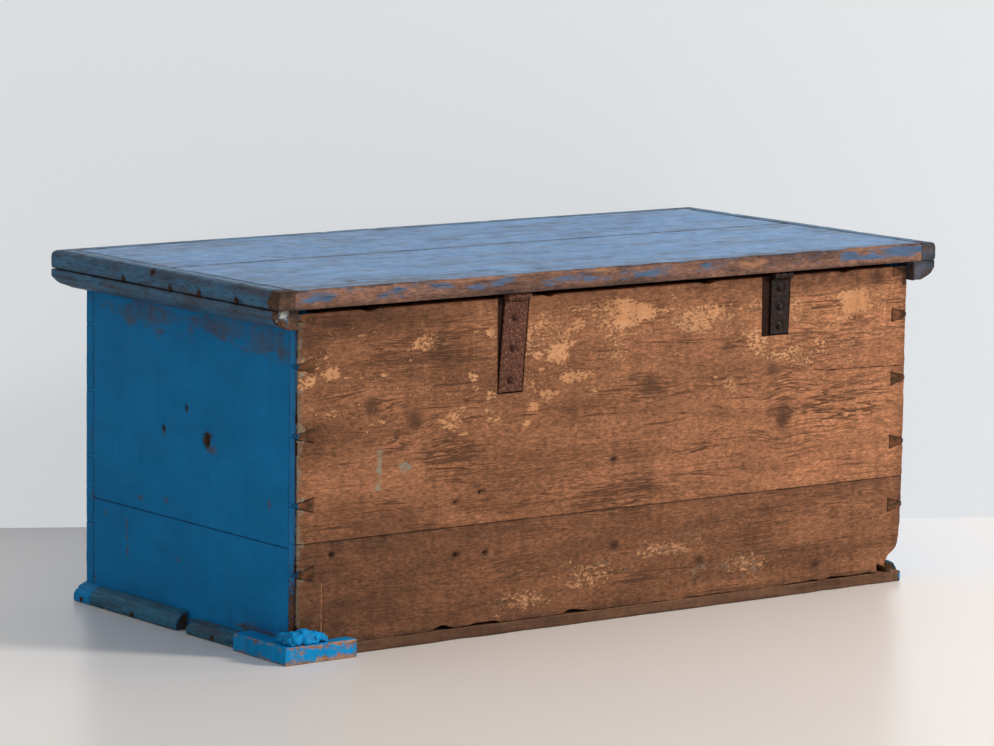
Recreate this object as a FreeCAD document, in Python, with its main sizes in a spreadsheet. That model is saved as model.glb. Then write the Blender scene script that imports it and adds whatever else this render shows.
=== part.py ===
# Old painted pine blanket chest: a dovetailed case of boards with a nailed floor, low base mouldings and a
# patched corner, and a flat two-board lid with nosings and deeper mouldings, on two iron strap hinges.
# The origin is on the floor under the middle of the case. X runs along the chest, Y to its back, Z up.
import FreeCAD, Part
import math
import os
import Sketcher

SIZES = [
    # Case
    ("case_length", 1096, "outside length of the walls"),
    ("case_depth", 540, "outside depth of the walls"),
    ("side_height", 460, "height of the front and back above the floor boards"),
    ("side_thickness", 20, "front and back boards, which carry the tails"),
    ("end_thickness", 28, "end boards, which carry the pins"),
    ("floor_thickness", 16, "floor boards under the walls"),
    ("seam_gap", 0.6, "shrinkage gap between boards edge to edge"),
    ("back_lower_height", 144, "width of the lower back board"),
    ("front_lower_height", 150, "width of the lower front board"),
    ("end_lower_height", 136, "width of the lower end board"),
    # Dovetails
    ("pin_wide", 21, "pin at its inner side"),
    ("pin_narrow", 6, "pin at the outer face of the end"),
    ("pin_first", 102, "middle of the lowest pin above the floor boards"),
    ("pin_last_drop", 72, "middle of the highest pin below the top of the side"),
    ("half_pin_wide", 15, "half pins at the top and bottom, inner side"),
    ("half_pin_narrow", 8, "half pins, outer face"),
    # Base mouldings
    ("base_projection", 22, "end base mouldings, out from the wall"),
    ("front_base_projection", 20, "front base moulding, out from the wall"),
    ("base_height", 27, "base moulding at the wall"),
    ("base_nose", 10, "height of the upright nose"),
    ("base_top_flat", 4, "flat on the top beside the wall"),
    ("base_round", 4, "rounding of the nose"),
    ("worn_base_height", 20, "the worn rear piece on the right end"),
    ("base_break_start", 2, "front side of the gap in the right base moulding, behind the middle"),
    ("base_break", 25, "length of that gap"),
    ("base_corner_length", 43, "short piece at the front right corner"),
    ("left_base_short", 32, "left base moulding, short of the back corner"),
    # Corner block and filler
    ("block_height", 26, "block round the back right corner"),
    ("block_end_projection", 32, "out from the end wall"),
    ("block_back_projection", 22, "out from the back wall"),
    ("block_end_leg", 130, "outside length along the end"),
    ("block_back_leg", 118, "outside length along the back"),
    ("block_side_gap", 0.8, "between the block and the base moulding"),
    ("lump_radius", 12, "middling lump of filler"),
    # Lid
    ("lid_gap", 7.5, "from the top of the back to the underside of the lid"),
    ("lid_bearing_gap", 0.2, "between the end boards and the lid that lies on them"),
    ("lid_thickness", 27.5, "lid boards and nosings"),
    ("lid_seam_forward", 25, "seam of the lid boards in front of the middle"),
    ("lid_end_overhang", 42, "lid beyond each end wall"),
    ("lid_front_overhang", 28, "lid beyond the front"),
    ("lid_rear_overhang", 14.5, "lid beyond the back"),
    ("nosing_width", 28, "nosing round the lid boards"),
    ("nosing_top_round", 10, "upper outer edge of the nosing"),
    ("nosing_low_round", 4, "lower outer edge of the nosing"),
    ("lid_moulding_height", 28.5, "deeper moulding under the nosing"),
    ("lid_moulding_lip", 11, "its upright outer face"),
    ("lid_moulding_round", 9, "rounding of its lower edges"),
    ("wall_clearance", 0.6, "between the lid mouldings and the walls"),
    ("right_moulding_short", 12, "right lid moulding, short of the lid's rear edge"),
    ("left_moulding_short", 1.5, "left lid moulding, short of the lid's rear edge"),
    # Strap hinges
    ("barrel_radius", 6, "knuckles"),
    ("hinge_pin_radius", 2.5, "hinge pins"),
    ("pin_clearance", 0.05, "running clearance between pin and knuckle, on the radius"),
    ("knuckle_gap", 0.3, "side clearance between knuckles"),
    ("knuckle_relief", 0.5, "clearance of a leaf round the other leaf's knuckle"),
    ("knuckle_lid_gap", 0.3, "between the knuckles and the underside of the lid"),
    ("pin_head_radius", 4, "riveted heads of the hinge pin"),
    ("pin_head_thickness", 1.5, "riveted heads of the hinge pin"),
    ("strap_thickness", 3.5, "iron of straps and leaves"),
    ("housing_depth", 4, "housing cut in the back for a strap"),
    ("housing_margin", 1, "housing round a strap"),
    ("leaf_length", 95, "leaf under the lid, from the hinge axis forward"),
    ("right_hinge_place", 178.5, "middle of the right knuckles, right of the middle"),
    ("right_strap_width", 41, "right strap and leaf"),
    ("right_strap_length", 133, "right strap below the top of the back"),
    ("right_strap_lean", 10, "foot of the right strap, further right than its top"),
    ("right_centre_knuckle", 16.5, "middle knuckle of the right hinge"),
    ("right_housing_room", 2, "empty part of the right housing, beside the strap"),
    ("left_hinge_place", 302, "middle of the left knuckles, left of the middle"),
    ("left_strap_width", 34, "left strap and leaf"),
    ("left_strap_length", 85, "left strap below the top of the back"),
    ("left_strap_lean", 1, "foot of the left strap, further right than its top"),
    ("left_centre_knuckle", 14, "middle knuckle of the left hinge"),
    ("left_housing_room", 16, "empty part of the left housing, beside the strap"),
    # Nails
    ("nail_radius", 1.8, "shanks of all nails"),
    ("nail_head_radius", 4.5, "forged heads"),
    ("nail_head_thickness", 1.6, "forged heads"),
    ("nail_head_round", 0.9, "rounding of the forged heads"),
    ("strap_nail_length", 19, "hinge nails, through iron into the boards"),
    ("nosing_nail_length", 45, "nails through the nosings into the lid boards"),
    ("moulding_nail_length", 42, "nails up through the lid mouldings"),
    ("floor_nail_length", 50, "nails up through the floor boards"),
    ("base_nail_length", 34, "nails through the base mouldings"),
    # Overrun of every cut
    ("overrun", 3, "cuts run this far past the wood"),
]


class Size:
    """A length: its number, and the sheet expression that the document keeps for it."""

    def __init__(self, number, text):
        self.number = number
        self.text = text

    def combined(self, other, sign, number, swapped=False):
        text = other.text if isinstance(other, Size) else str(other)
        pair = (text, self.text) if swapped else (self.text, text)
        return Size(number, "(" + pair[0] + " " + sign + " " + pair[1] + ")")

    def __add__(self, other):
        return self.combined(other, "+", self.number + number_of(other))

    def __sub__(self, other):
        return self.combined(other, "-", self.number - number_of(other))

    def __mul__(self, other):
        return self.combined(other, "*", self.number * number_of(other))

    def __rmul__(self, other):
        return self.combined(other, "*", number_of(other) * self.number, swapped=True)

    def __truediv__(self, other):
        return self.combined(other, "/", self.number / number_of(other))

    def __neg__(self):
        return Size(-self.number, "(-1 * " + self.text + ")")


def number_of(value):
    return value.number if isinstance(value, Size) else value


ZERO = Size(0.0, "0")

document = FreeCAD.newDocument("BlanketChest")
sheet = document.addObject("Spreadsheet::Sheet", "Sizes")


class Sizes:
    """The driving sizes by name."""


S = Sizes()
for row, (name, value, note) in enumerate(SIZES, start=1):
    sheet.set("A" + str(row), name)
    sheet.set("B" + str(row), str(value))
    sheet.set("C" + str(row), note)
    sheet.setAlias("B" + str(row), name)
    setattr(S, name, Size(float(value), "Sizes." + name))
document.recompute()

parts = []


# Shared ways of making a piece

def bind(thing, path, size):
    """Keep a property equal to a size."""
    thing.setExpression(path, size.text if isinstance(size, Size) else str(size))


def new_piece(label, x=ZERO, y=ZERO, z=ZERO, half_turn=False):
    """A body with its own name and place; half_turn faces it the other way about the upright."""
    body = document.addObject("PartDesign::Body", label)
    body.Label = label
    turn = FreeCAD.Rotation(FreeCAD.Vector(0, 0, 1), 180 if half_turn else 0)
    body.Placement = FreeCAD.Placement(FreeCAD.Vector(x.number, y.number, z.number), turn)
    bind(body, "Placement.Base.x", x)
    bind(body, "Placement.Base.y", y)
    bind(body, "Placement.Base.z", z)
    parts.append(body)
    return body


def new_sketch(body, role, level=ZERO):
    """A sketch on one of the body's own planes, lifted along the plane's normal."""
    sketch = body.newObject("Sketcher::SketchObject", "Outline")
    plane = [item for item in body.Origin.OriginFeatures if item.Role == role][0]
    sketch.AttachmentSupport = (plane, "")
    sketch.MapMode = "FlatFace"
    bind(sketch, "AttachmentOffset.Base.z", level)
    return sketch


def hold_point(sketch, shape, point, u, v):
    """Hold one point of the sketch at two sizes from its origin."""
    for kind, size in (("DistanceX", u), ("DistanceY", v)):
        index = sketch.addConstraint(Sketcher.Constraint(kind, -1, 1, shape, point, size.number))
        bind(sketch, "Constraints[" + str(index) + "]", size)


def add_outline(sketch, corners):
    """A closed outline of straight lines through the corners."""
    first = sketch.GeometryCount
    count = len(corners)
    spots = [FreeCAD.Vector(u.number, v.number, 0) for u, v in corners]
    for index in range(count):
        sketch.addGeometry(Part.LineSegment(spots[index], spots[(index + 1) % count]))
    for index in range(count):
        following = first + (index + 1) % count
        sketch.addConstraint(Sketcher.Constraint("Coincident", first + index, 2, following, 1))
    for index, (u, v) in enumerate(corners):
        hold_point(sketch, first + index, 1, u, v)


def add_circle(sketch, u, v, radius):
    spot = FreeCAD.Vector(u.number, v.number, 0)
    shape = sketch.addGeometry(Part.Circle(spot, FreeCAD.Vector(0, 0, 1), radius.number))
    index = sketch.addConstraint(Sketcher.Constraint("Radius", shape, radius.number))
    bind(sketch, "Constraints[" + str(index) + "]", radius)
    hold_point(sketch, shape, 3, u, v)


def add_pad(body, sketch, length):
    pad = body.newObject("PartDesign::Pad", "Pad")
    pad.Profile = sketch
    bind(pad, "Length", length)
    document.recompute()
    return pad


def add_pocket(body, sketch, length):
    """Cut the sketch into the body along the sketch's normal."""
    before = body.Shape.Volume
    pocket = body.newObject("PartDesign::Pocket", "Pocket")
    pocket.Profile = sketch
    pocket.Reversed = True
    bind(pocket, "Length", length)
    document.recompute()
    if body.Shape.Volume > before * 0.999999:
        raise RuntimeError("a pocket of " + body.Label + " cuts nothing")
    return pocket


def box_corners(u_low, u_high, v_low, v_high):
    return [(u_low, v_low), (u_high, v_low), (u_high, v_high), (u_low, v_high)]


def edge_names(body, wanted):
    """Names of the body's edges whose middle and direction the test accepts."""
    names = []
    for index, edge in enumerate(body.Tip.Shape.Edges, start=1):
        middle = edge.valueAt((edge.FirstParameter + edge.LastParameter) / 2)
        if wanted(middle, edge):
            names.append("Edge" + str(index))
    return names


def add_fillet(body, names, radius):
    tip = body.Tip
    fillet = body.newObject("PartDesign::Fillet", "Fillet")
    fillet.Base = (tip, names)
    bind(fillet, "Radius", radius)
    document.recompute()
    return fillet


def near(first, second):
    return abs(first - second) < 0.01 * S.strap_thickness.number


# Levels that several pieces share
half_length = S.case_length / 2
half_depth = S.case_depth / 2
wall_foot = S.floor_thickness
wall_top = S.floor_thickness + S.side_height
lid_under = wall_top + S.lid_gap
lid_top = lid_under + S.lid_thickness

# Dovetails. The four whole pins are evenly spaced between the lowest and the highest. A half pin closes the
# joint at the top and at the bottom. Each entry is (lower and upper height of the wide side, then of the
# narrow side) in the case's own heights.
WHOLE_PINS = 4
pin_pitch = (S.side_height - S.pin_first - S.pin_last_drop) / (WHOLE_PINS - 1)


def whole_pin(index):
    middle = wall_foot + S.pin_first + index * pin_pitch
    return (middle - S.pin_wide / 2, middle + S.pin_wide / 2,
            middle - S.pin_narrow / 2, middle + S.pin_narrow / 2)


bottom_half_pin = (wall_foot, wall_foot + S.half_pin_wide, wall_foot, wall_foot + S.half_pin_narrow)
top_half_pin = (wall_top - S.half_pin_wide, wall_top, wall_top - S.half_pin_narrow, wall_top)
LOWER_PINS = [bottom_half_pin, whole_pin(0)]
UPPER_PINS = [whole_pin(1), whole_pin(2), whole_pin(3), top_half_pin]


def pin_corners(pin, outer, inner):
    """One pin's outline seen from the side, narrow at the outer face of the end."""
    wide_low, wide_high, narrow_low, narrow_high = pin
    return [(outer, narrow_low), (outer, narrow_high), (inner, wide_high), (inner, wide_low)]


def tail_board(label, low, high, pins, back):
    """A front or back board. Its outer face is the body's XZ plane, and its wood lies inwards of it."""
    body = new_piece(label, y=half_depth if back else -half_depth, half_turn=not back)
    outline = new_sketch(body, "XZ_Plane")
    add_outline(outline, box_corners(-half_length, half_length, low, high))
    add_pad(body, outline, S.side_thickness)
    sockets = new_sketch(body, "XZ_Plane", -S.overrun)
    for pin in pins:
        add_outline(sockets, pin_corners(pin, half_length, half_length - S.end_thickness))
        add_outline(sockets, pin_corners(pin, -half_length, S.end_thickness - half_length))
    add_pocket(body, sockets, S.side_thickness + 2 * S.overrun)
    return body


def pin_board(label, low, high, pins, right):
    """An end board. Its outer face is the body's YZ plane, and its pins run out between the tails."""
    body = new_piece(label, x=half_length if right else -half_length, half_turn=not right)
    inner_depth = half_depth - S.side_thickness
    outline = new_sketch(body, "YZ_Plane", -S.end_thickness)
    add_outline(outline, box_corners(-inner_depth, inner_depth, low, high))
    add_pad(body, outline, S.end_thickness)
    shapes = new_sketch(body, "XZ_Plane", -half_depth)
    for pin in pins:
        add_outline(shapes, pin_corners(pin, ZERO, -S.end_thickness))
    add_pad(body, shapes, S.case_depth)
    return body


back_seam = wall_foot + S.back_lower_height
front_seam = wall_foot + S.front_lower_height
end_seam = wall_foot + S.end_lower_height
end_top = lid_under - S.lid_bearing_gap
back_upper = tail_board("back_board_upper", back_seam + S.seam_gap, wall_top, UPPER_PINS, True)
tail_board("back_board_lower", wall_foot, back_seam, LOWER_PINS, True)
tail_board("front_board_upper", front_seam + S.seam_gap, wall_top, UPPER_PINS, False)
tail_board("front_board_lower", wall_foot, front_seam, LOWER_PINS, False)
pin_board("right_end_upper", end_seam + S.seam_gap, end_top, UPPER_PINS, True)
pin_board("right_end_lower", wall_foot, end_seam, LOWER_PINS, True)
pin_board("left_end_upper", end_seam + S.seam_gap, end_top, UPPER_PINS, False)
pin_board("left_end_lower", wall_foot, end_seam, LOWER_PINS, False)

# Floor boards, lengthwise under the walls
FLOOR_NAMES = ["floor_board_front", "floor_board_middle", "floor_board_rear"]
floor_pitch = (S.case_depth + S.seam_gap) / len(FLOOR_NAMES)
for index, label in enumerate(FLOOR_NAMES):
    body = new_piece(label, y=index * floor_pitch - half_depth)
    outline = new_sketch(body, "XY_Plane")
    add_outline(outline, box_corners(-half_length, half_length, ZERO, floor_pitch - S.seam_gap))
    add_pad(body, outline, S.floor_thickness)


# Base mouldings. The section lies with its back on the wall: a flat foot, an upright nose and a sloping top.

def base_section(projection, height):
    return [(ZERO, ZERO), (projection, ZERO), (projection, S.base_nose), (S.base_top_flat, height),
            (ZERO, height)]


def base_moulding(label, start, length, height, side):
    """A base moulding on a wall. On an end it starts at a depth, on the front at a place along the chest."""
    if side == "front":
        body = new_piece(label, y=-half_depth)
        outline = new_sketch(body, "YZ_Plane", start)
        section = [(-out, up) for out, up in base_section(S.front_base_projection, height)]
    else:
        right = side == "right"
        body = new_piece(label, x=half_length if right else -half_length, half_turn=not right)
        level = -start - length if right else start
        outline = new_sketch(body, "XZ_Plane", level)
        section = base_section(S.base_projection, height)
    add_outline(outline, section)
    add_pad(body, outline, length)
    reach = number_of(S.front_base_projection if side == "front" else S.base_projection)

    def on_nose(middle, edge):
        out = -middle.y if side == "front" else middle.x
        long_edge = edge.Length > S.base_height.number
        return long_edge and near(out, reach) and middle.z > S.base_nose.number / 2

    add_fillet(body, edge_names(body, on_nose), S.base_round)
    return body


break_front = S.base_break_start
break_rear = S.base_break_start + S.base_break
block_end = half_depth + S.block_back_projection - S.block_end_leg
corner_seam = -half_depth + S.base_corner_length
base_moulding("base_moulding_front", -half_length, S.case_length, S.base_height, "front")
base_moulding("base_moulding_left", -half_depth, S.case_depth - S.left_base_short, S.base_height, "left")
base_moulding("base_moulding_right_corner", -half_depth, S.base_corner_length, S.base_height, "right")
base_moulding("base_moulding_right_front", corner_seam + S.seam_gap,
              break_front - corner_seam - S.seam_gap, S.base_height, "right")
base_moulding("base_moulding_right_rear", break_rear, block_end - S.block_side_gap - break_rear,
              S.worn_base_height, "right")

# Block round the back right corner, sawn from one board, in two legs against the walls
block = new_piece("corner_block", x=half_length, y=half_depth)
outline = new_sketch(block, "XY_Plane")
leg_along_end = S.block_back_projection - S.block_end_leg
leg_along_back = S.block_end_projection - S.block_back_leg
add_outline(outline, [
    (ZERO, ZERO),
    (ZERO, leg_along_end),
    (S.block_end_projection, leg_along_end),
    (S.block_end_projection, S.block_back_projection),
    (leg_along_back, S.block_back_projection),
    (leg_along_back, ZERO),
])
add_pad(block, outline, S.block_height)

# Lumps of filler on the block, in the angle between it and the walls. A place is given along the back or
# along the end in shares of the block's leg, out from the wall in shares of its projection, and its size in
# shares of the middling lump.
BACK_LUMP_SHARES = [(0.30, 0.42, 0.85), (0.17, 0.35, 1.15), (0.04, 0.40, 1.40), (-0.10, 0.45, 1.25)]
END_LUMP_SHARES = [(0.02, 0.40, 1.05), (0.12, 0.36, 0.90)]
FILLER_SINK_SHARE = 0.35


def lump(name, x, y, size_share):
    """One ball of filler, sunk a little below the top of the block."""
    ball = document.addObject("Part::Sphere", name)
    radius = size_share * S.lump_radius
    bind(ball, "Radius", radius)
    bind(ball, "Placement.Base.x", x)
    bind(ball, "Placement.Base.y", y)
    bind(ball, "Placement.Base.z", S.block_height + FILLER_SINK_SHARE * radius)
    return ball


lumps = []
for index, (along, out, size_share) in enumerate(BACK_LUMP_SHARES):
    lumps.append(lump("BackLump" + str(index), half_length - along * S.block_back_leg,
                      half_depth + out * S.block_back_projection, size_share))
for index, (along, out, size_share) in enumerate(END_LUMP_SHARES):
    lumps.append(lump("EndLump" + str(index), half_length + out * S.block_end_projection,
                      half_depth - along * S.block_end_leg, size_share))
lump_mass = document.addObject("Part::MultiFuse", "LumpMass")
lump_mass.Shapes = lumps


def solid_box(name, x_low, x_high, y_low, y_high, z_low, z_high):
    box = document.addObject("Part::Box", name)
    for path, low, high in (("x", x_low, x_high), ("y", y_low, y_high), ("z", z_low, z_high)):
        bind(box, "Placement.Base." + path, low)
        bind(box, {"x": "Length", "y": "Width", "z": "Height"}[path], high - low)
    return box


far = 4 * S.lump_radius
walls_box = solid_box("WallsBox", half_length - S.block_back_leg - far, half_length,
                      half_depth - S.block_end_leg - far, half_depth, ZERO, wall_top)
block_box = solid_box("BlockBox", half_length - S.block_back_leg - far, half_length + far,
                      half_depth - S.block_end_leg - far, half_depth + far, -far, S.block_height)
lump_cutter = document.addObject("Part::Fuse", "LumpCutter")
lump_cutter.Base = walls_box
lump_cutter.Tool = block_box
filler = document.addObject("Part::Cut", "corner_filler")
filler.Label = "corner_filler"
filler.Base = lump_mass
filler.Tool = lump_cutter
parts.append(filler)

# Lid boards, edge to edge, framed by the nosings on three sides
lid_front = -half_depth - S.lid_front_overhang
lid_rear = half_depth + S.lid_rear_overhang
lid_end = half_length + S.lid_end_overhang
board_end = lid_end - S.nosing_width
board_front = lid_front + S.nosing_width
lid_seam = -S.lid_seam_forward


def lid_board(label, front, rear):
    body = new_piece(label, z=lid_under)
    outline = new_sketch(body, "XY_Plane")
    add_outline(outline, box_corners(-board_end, board_end, front, rear))
    add_pad(body, outline, S.lid_thickness)
    return body


lid_board("lid_board_front", board_front, lid_seam - S.seam_gap / 2)
rear_board = lid_board("lid_board_rear", lid_seam + S.seam_gap / 2, lid_rear)


# Nosings and lid mouldings. A strip is drawn in section against the line it lies on, run along its side,
# rounded, and cut to the corner line that it shares with the next strip.

def outer_edges(body, axis, reach, levels):
    """Long edges on the outer face of a strip, at one of the given heights."""
    def wanted(middle, edge):
        out = -middle.y if axis == "front" else middle.x
        level_found = any(near(middle.z, level.number) for level in levels)
        return edge.Length > S.nosing_width.number and near(out, reach.number) and level_found
    return edge_names(body, wanted)


def strip(label, side, section, rear, level):
    """A strip along the front, or along an end from the front corner back to the given depth."""
    if side == "front":
        body = new_piece(label, z=level)
        outline = new_sketch(body, "YZ_Plane", -lid_end)
        add_outline(outline, [(-out, up) for out, up in section])
        add_pad(body, outline, 2 * lid_end)
    else:
        right = side == "right"
        body = new_piece(label, z=level, half_turn=not right)
        start = -rear if right else lid_front
        outline = new_sketch(body, "XZ_Plane", start)
        add_outline(outline, section)
        add_pad(body, outline, rear - lid_front)
    return body


def cut_corner(body, side, inner_x, inner_y):
    """Cut a strip to the corner line from the inner corner to the outer corner of the lid."""
    cutter = new_sketch(body, "XY_Plane", -S.lid_thickness)
    if side == "front":
        for sign in (1, -1):
            add_outline(cutter, [(sign * inner_x, inner_y), (sign * lid_end, lid_front),
                                 (sign * (lid_end + S.overrun), lid_front),
                                 (sign * (lid_end + S.overrun), inner_y)])
    else:
        turn = 1 if side == "right" else -1
        add_outline(cutter, [(inner_x, turn * inner_y), (lid_end, turn * lid_front),
                             (lid_end, turn * (lid_front - S.overrun)),
                             (inner_x, turn * (lid_front - S.overrun))])
    add_pocket(body, cutter, 3 * S.lid_thickness)


nosing_corner = (board_end, board_front)
for side in ("front", "right", "left"):
    inner, outer = (-board_front, -lid_front) if side == "front" else (board_end, lid_end)
    section = box_corners(inner, outer, ZERO, S.lid_thickness)
    body = strip("lid_nosing_" + side, side, section, lid_rear, lid_under)
    add_fillet(body, outer_edges(body, side, outer, [S.lid_thickness]), S.nosing_top_round)
    add_fillet(body, outer_edges(body, side, outer, [ZERO]), S.nosing_low_round)
    cut_corner(body, side, *nosing_corner)

# The deeper mouldings: flat underneath beside the wall, curving up to an upright lip
FLAT_SHARE = 0.36
KNEE_SHARE = 0.80
KNEE_RISE_SHARE = 0.42
moulding_corner = (half_length + S.wall_clearance, -half_depth - S.wall_clearance)
lip_foot = S.lid_moulding_height - S.lid_moulding_lip
SHORT = {"front": ZERO, "right": S.right_moulding_short, "left": S.left_moulding_short}
for side in ("front", "right", "left"):
    if side == "front":
        inner, outer = half_depth + S.wall_clearance, -lid_front
    else:
        inner, outer = half_length + S.wall_clearance, lid_end
    width = outer - inner
    section = [(inner, ZERO), (inner + FLAT_SHARE * width, ZERO),
               (inner + KNEE_SHARE * width, KNEE_RISE_SHARE * lip_foot), (outer, lip_foot),
               (outer, S.lid_moulding_height), (inner, S.lid_moulding_height)]
    body = strip("lid_moulding_" + side, side, section, lid_rear - SHORT[side],
                 lid_under - S.lid_moulding_height)
    knees = [(inner + FLAT_SHARE * width, ZERO),
             (inner + KNEE_SHARE * width, KNEE_RISE_SHARE * lip_foot), (outer, lip_foot)]

    def on_knee(middle, edge):
        out = -middle.y if side == "front" else middle.x
        at_knee = any(near(out, u.number) and near(middle.z, v.number) for u, v in knees)
        return edge.Length > S.nosing_width.number and at_knee

    add_fillet(body, edge_names(body, on_knee), S.lid_moulding_round)
    cut_corner(body, side, *moulding_corner)

# Strap hinges. Each piece is drawn about its hinge axis and then placed. The axis is behind the back, where
# the knuckles touch the bottom of the housing and turn close under the lid.
axis_depth = half_depth - S.housing_depth + S.barrel_radius
axis_height = lid_under - S.knuckle_lid_gap - S.barrel_radius
STRAP_NAIL_SHARES = [0.22, 0.54, 0.87]
LEAF_NAIL_SHARES = [0.30, 0.58, 0.86]
HINGES = {
    "right": (S.right_hinge_place, S.right_strap_width, S.right_strap_length, S.right_strap_lean,
              S.right_centre_knuckle, S.right_housing_room),
    "left": (-S.left_hinge_place, S.left_strap_width, S.left_strap_length, S.left_strap_lean,
             S.left_centre_knuckle, S.left_housing_room),
}
bore_radius = S.hinge_pin_radius + S.pin_clearance


knuckle_root = S.barrel_radius + 2 * S.knuckle_relief


def add_knuckle_section(sketch, under_lid):
    """Section of a knuckle rolled from its plate, about the hinge axis. The plate's outer side runs off the
    barrel: straight down from its inner side on the strap, and forward from its top on the lid's leaf."""
    reach = S.barrel_radius.number
    web = reach - S.strap_thickness.number
    drop = math.sqrt(reach * reach - web * web)
    root = knuckle_root.number
    corners = [(-reach, -root), (-reach, 0), (-web, -drop), (-web, -root)]
    opening = math.atan2(drop, web)
    first_angle, last_angle = opening - math.pi, math.pi
    if under_lid:
        corners = [(v, -u) for u, v in corners]
        first_angle, last_angle = first_angle - math.pi / 2, last_angle - math.pi / 2
    foot, top, bend, heel = [FreeCAD.Vector(u, v, 0) for u, v in corners]
    circle = Part.Circle(FreeCAD.Vector(0, 0, 0), FreeCAD.Vector(0, 0, 1), reach)
    outer, arc, inner, end = [sketch.addGeometry(shape) for shape in (
        Part.LineSegment(foot, top),
        Part.ArcOfCircle(circle, first_angle, last_angle),
        Part.LineSegment(bend, heel),
        Part.LineSegment(heel, foot),
    )]
    for pair in ((outer, 2, arc, 2), (arc, 1, inner, 1), (inner, 2, end, 1), (end, 2, outer, 1),
                 (arc, 3, -1, 1)):
        sketch.addConstraint(Sketcher.Constraint("Coincident", *pair))
    lengthwise, across = ("Horizontal", "Vertical") if under_lid else ("Vertical", "Horizontal")
    sketch.addConstraint(Sketcher.Constraint(lengthwise, outer))
    sketch.addConstraint(Sketcher.Constraint(lengthwise, inner))
    sketch.addConstraint(Sketcher.Constraint(across, end))
    sketch.addConstraint(Sketcher.Constraint("PointOnObject", arc, 2, -2 if under_lid else -1))
    plate_inner = S.strap_thickness - S.barrel_radius
    radius_index = sketch.addConstraint(Sketcher.Constraint("Radius", arc, reach))
    bind(sketch, "Constraints[" + str(radius_index) + "]", S.barrel_radius)
    if under_lid:
        held = [("DistanceY", inner, 1, -plate_inner), ("DistanceX", end, 1, -knuckle_root)]
    else:
        held = [("DistanceX", inner, 1, plate_inner), ("DistanceY", end, 1, -knuckle_root)]
    for kind, shape, point, size in held:
        index = sketch.addConstraint(Sketcher.Constraint(kind, -1, 1, shape, point, size.number))
        bind(sketch, "Constraints[" + str(index) + "]", size)


def cut_bore(body, width):
    bore = new_sketch(body, "YZ_Plane", -width / 2 - S.overrun)
    add_circle(bore, ZERO, ZERO, bore_radius)
    add_pocket(body, bore, width + 2 * S.overrun)


def strap_nail_spots(width, length, lean):
    """Middles of the nails along a strap, from its hinge axis down."""
    foot = axis_height - wall_top + length
    return [(share * lean, -share * foot) for share in STRAP_NAIL_SHARES]


for side, (place, width, length, lean, centre, room) in HINGES.items():
    foot = axis_height - wall_top + length
    half_width = width / 2

    # The strap on the back, with the two outer knuckles
    strap = new_piece("hinge_strap_" + side, x=place, y=axis_depth, z=axis_height)
    rolled = new_sketch(strap, "YZ_Plane", -half_width)
    add_knuckle_section(rolled, False)
    add_pad(strap, rolled, width)
    outline = new_sketch(strap, "XZ_Plane", S.barrel_radius - S.strap_thickness)
    add_outline(outline, [(-half_width, -knuckle_root), (half_width, -knuckle_root),
                          (half_width + lean, -foot), (lean - half_width, -foot)])
    add_pad(strap, outline, S.strap_thickness)
    slot = new_sketch(strap, "YZ_Plane", -centre / 2)
    slot_reach = S.barrel_radius + S.overrun
    add_outline(slot, box_corners(-slot_reach, slot_reach, -S.barrel_radius - S.knuckle_relief, slot_reach))
    add_pocket(strap, slot, centre)
    cut_bore(strap, width)
    holes = new_sketch(strap, "XZ_Plane", -S.barrel_radius)
    for u, v in strap_nail_spots(width, length, lean):
        add_circle(holes, u, v, S.nail_radius)
    add_pocket(strap, holes, 2 * S.barrel_radius + S.overrun)

    # The leaf under the lid, with the middle knuckle
    leaf = new_piece("hinge_leaf_" + side, x=place, y=axis_depth, z=axis_height)
    tongue = centre / 2 - S.knuckle_gap
    rolled = new_sketch(leaf, "YZ_Plane", -tongue)
    add_knuckle_section(rolled, True)
    add_pad(leaf, rolled, 2 * tongue)
    outline = new_sketch(leaf, "XY_Plane", S.barrel_radius - S.strap_thickness)
    add_outline(outline, box_corners(-half_width, half_width, -S.leaf_length, -knuckle_root))
    add_pad(leaf, outline, S.strap_thickness)
    cut_bore(leaf, width)
    holes = new_sketch(leaf, "XY_Plane", -S.overrun)
    for share in LEAF_NAIL_SHARES:
        add_circle(holes, ZERO, -share * S.leaf_length, S.nail_radius)
    add_pocket(leaf, holes, S.barrel_radius + 2 * S.overrun)

    # The pin, riveted over at both ends
    pin = new_piece("hinge_pin_" + side, x=place, y=axis_depth, z=axis_height)
    shank = new_sketch(pin, "YZ_Plane", -half_width - S.pin_head_thickness)
    add_circle(shank, ZERO, ZERO, S.hinge_pin_radius)
    add_pad(pin, shank, width + 2 * S.pin_head_thickness)
    for level in (-half_width - S.pin_head_thickness, half_width):
        head = new_sketch(pin, "YZ_Plane", level)
        add_circle(head, ZERO, ZERO, S.pin_head_radius)
        add_pad(pin, head, S.pin_head_thickness)

    # The housing in the back board: it follows the strap on one side and is roomier on the other
    housing = new_sketch(back_upper, "XZ_Plane", -S.overrun)
    housing_foot = wall_top - length - S.housing_margin
    wide_side = place + lean + half_width + room
    add_outline(housing, [(place - half_width - S.pin_head_thickness - S.housing_margin,
                           wall_top + S.overrun),
                          (wide_side, wall_top + S.overrun), (wide_side, housing_foot),
                          (place + lean - half_width - S.housing_margin, housing_foot)])
    add_pocket(back_upper, housing, S.housing_depth + S.overrun)


# Nails. A group is drawn as circles on one plane: the shanks run into the wood, and the heads stand on it.

def nail_group(label, role, surface, outward, spots, length, x=ZERO, y=ZERO, z=ZERO, half_turn=False):
    """Nails driven against the plane's normal (outward 1) or along it (outward -1) from a surface level."""
    body = new_piece(label, x=x, y=y, z=z, half_turn=half_turn)
    add_nails(body, role, surface, outward, spots, length)
    return body


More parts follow.
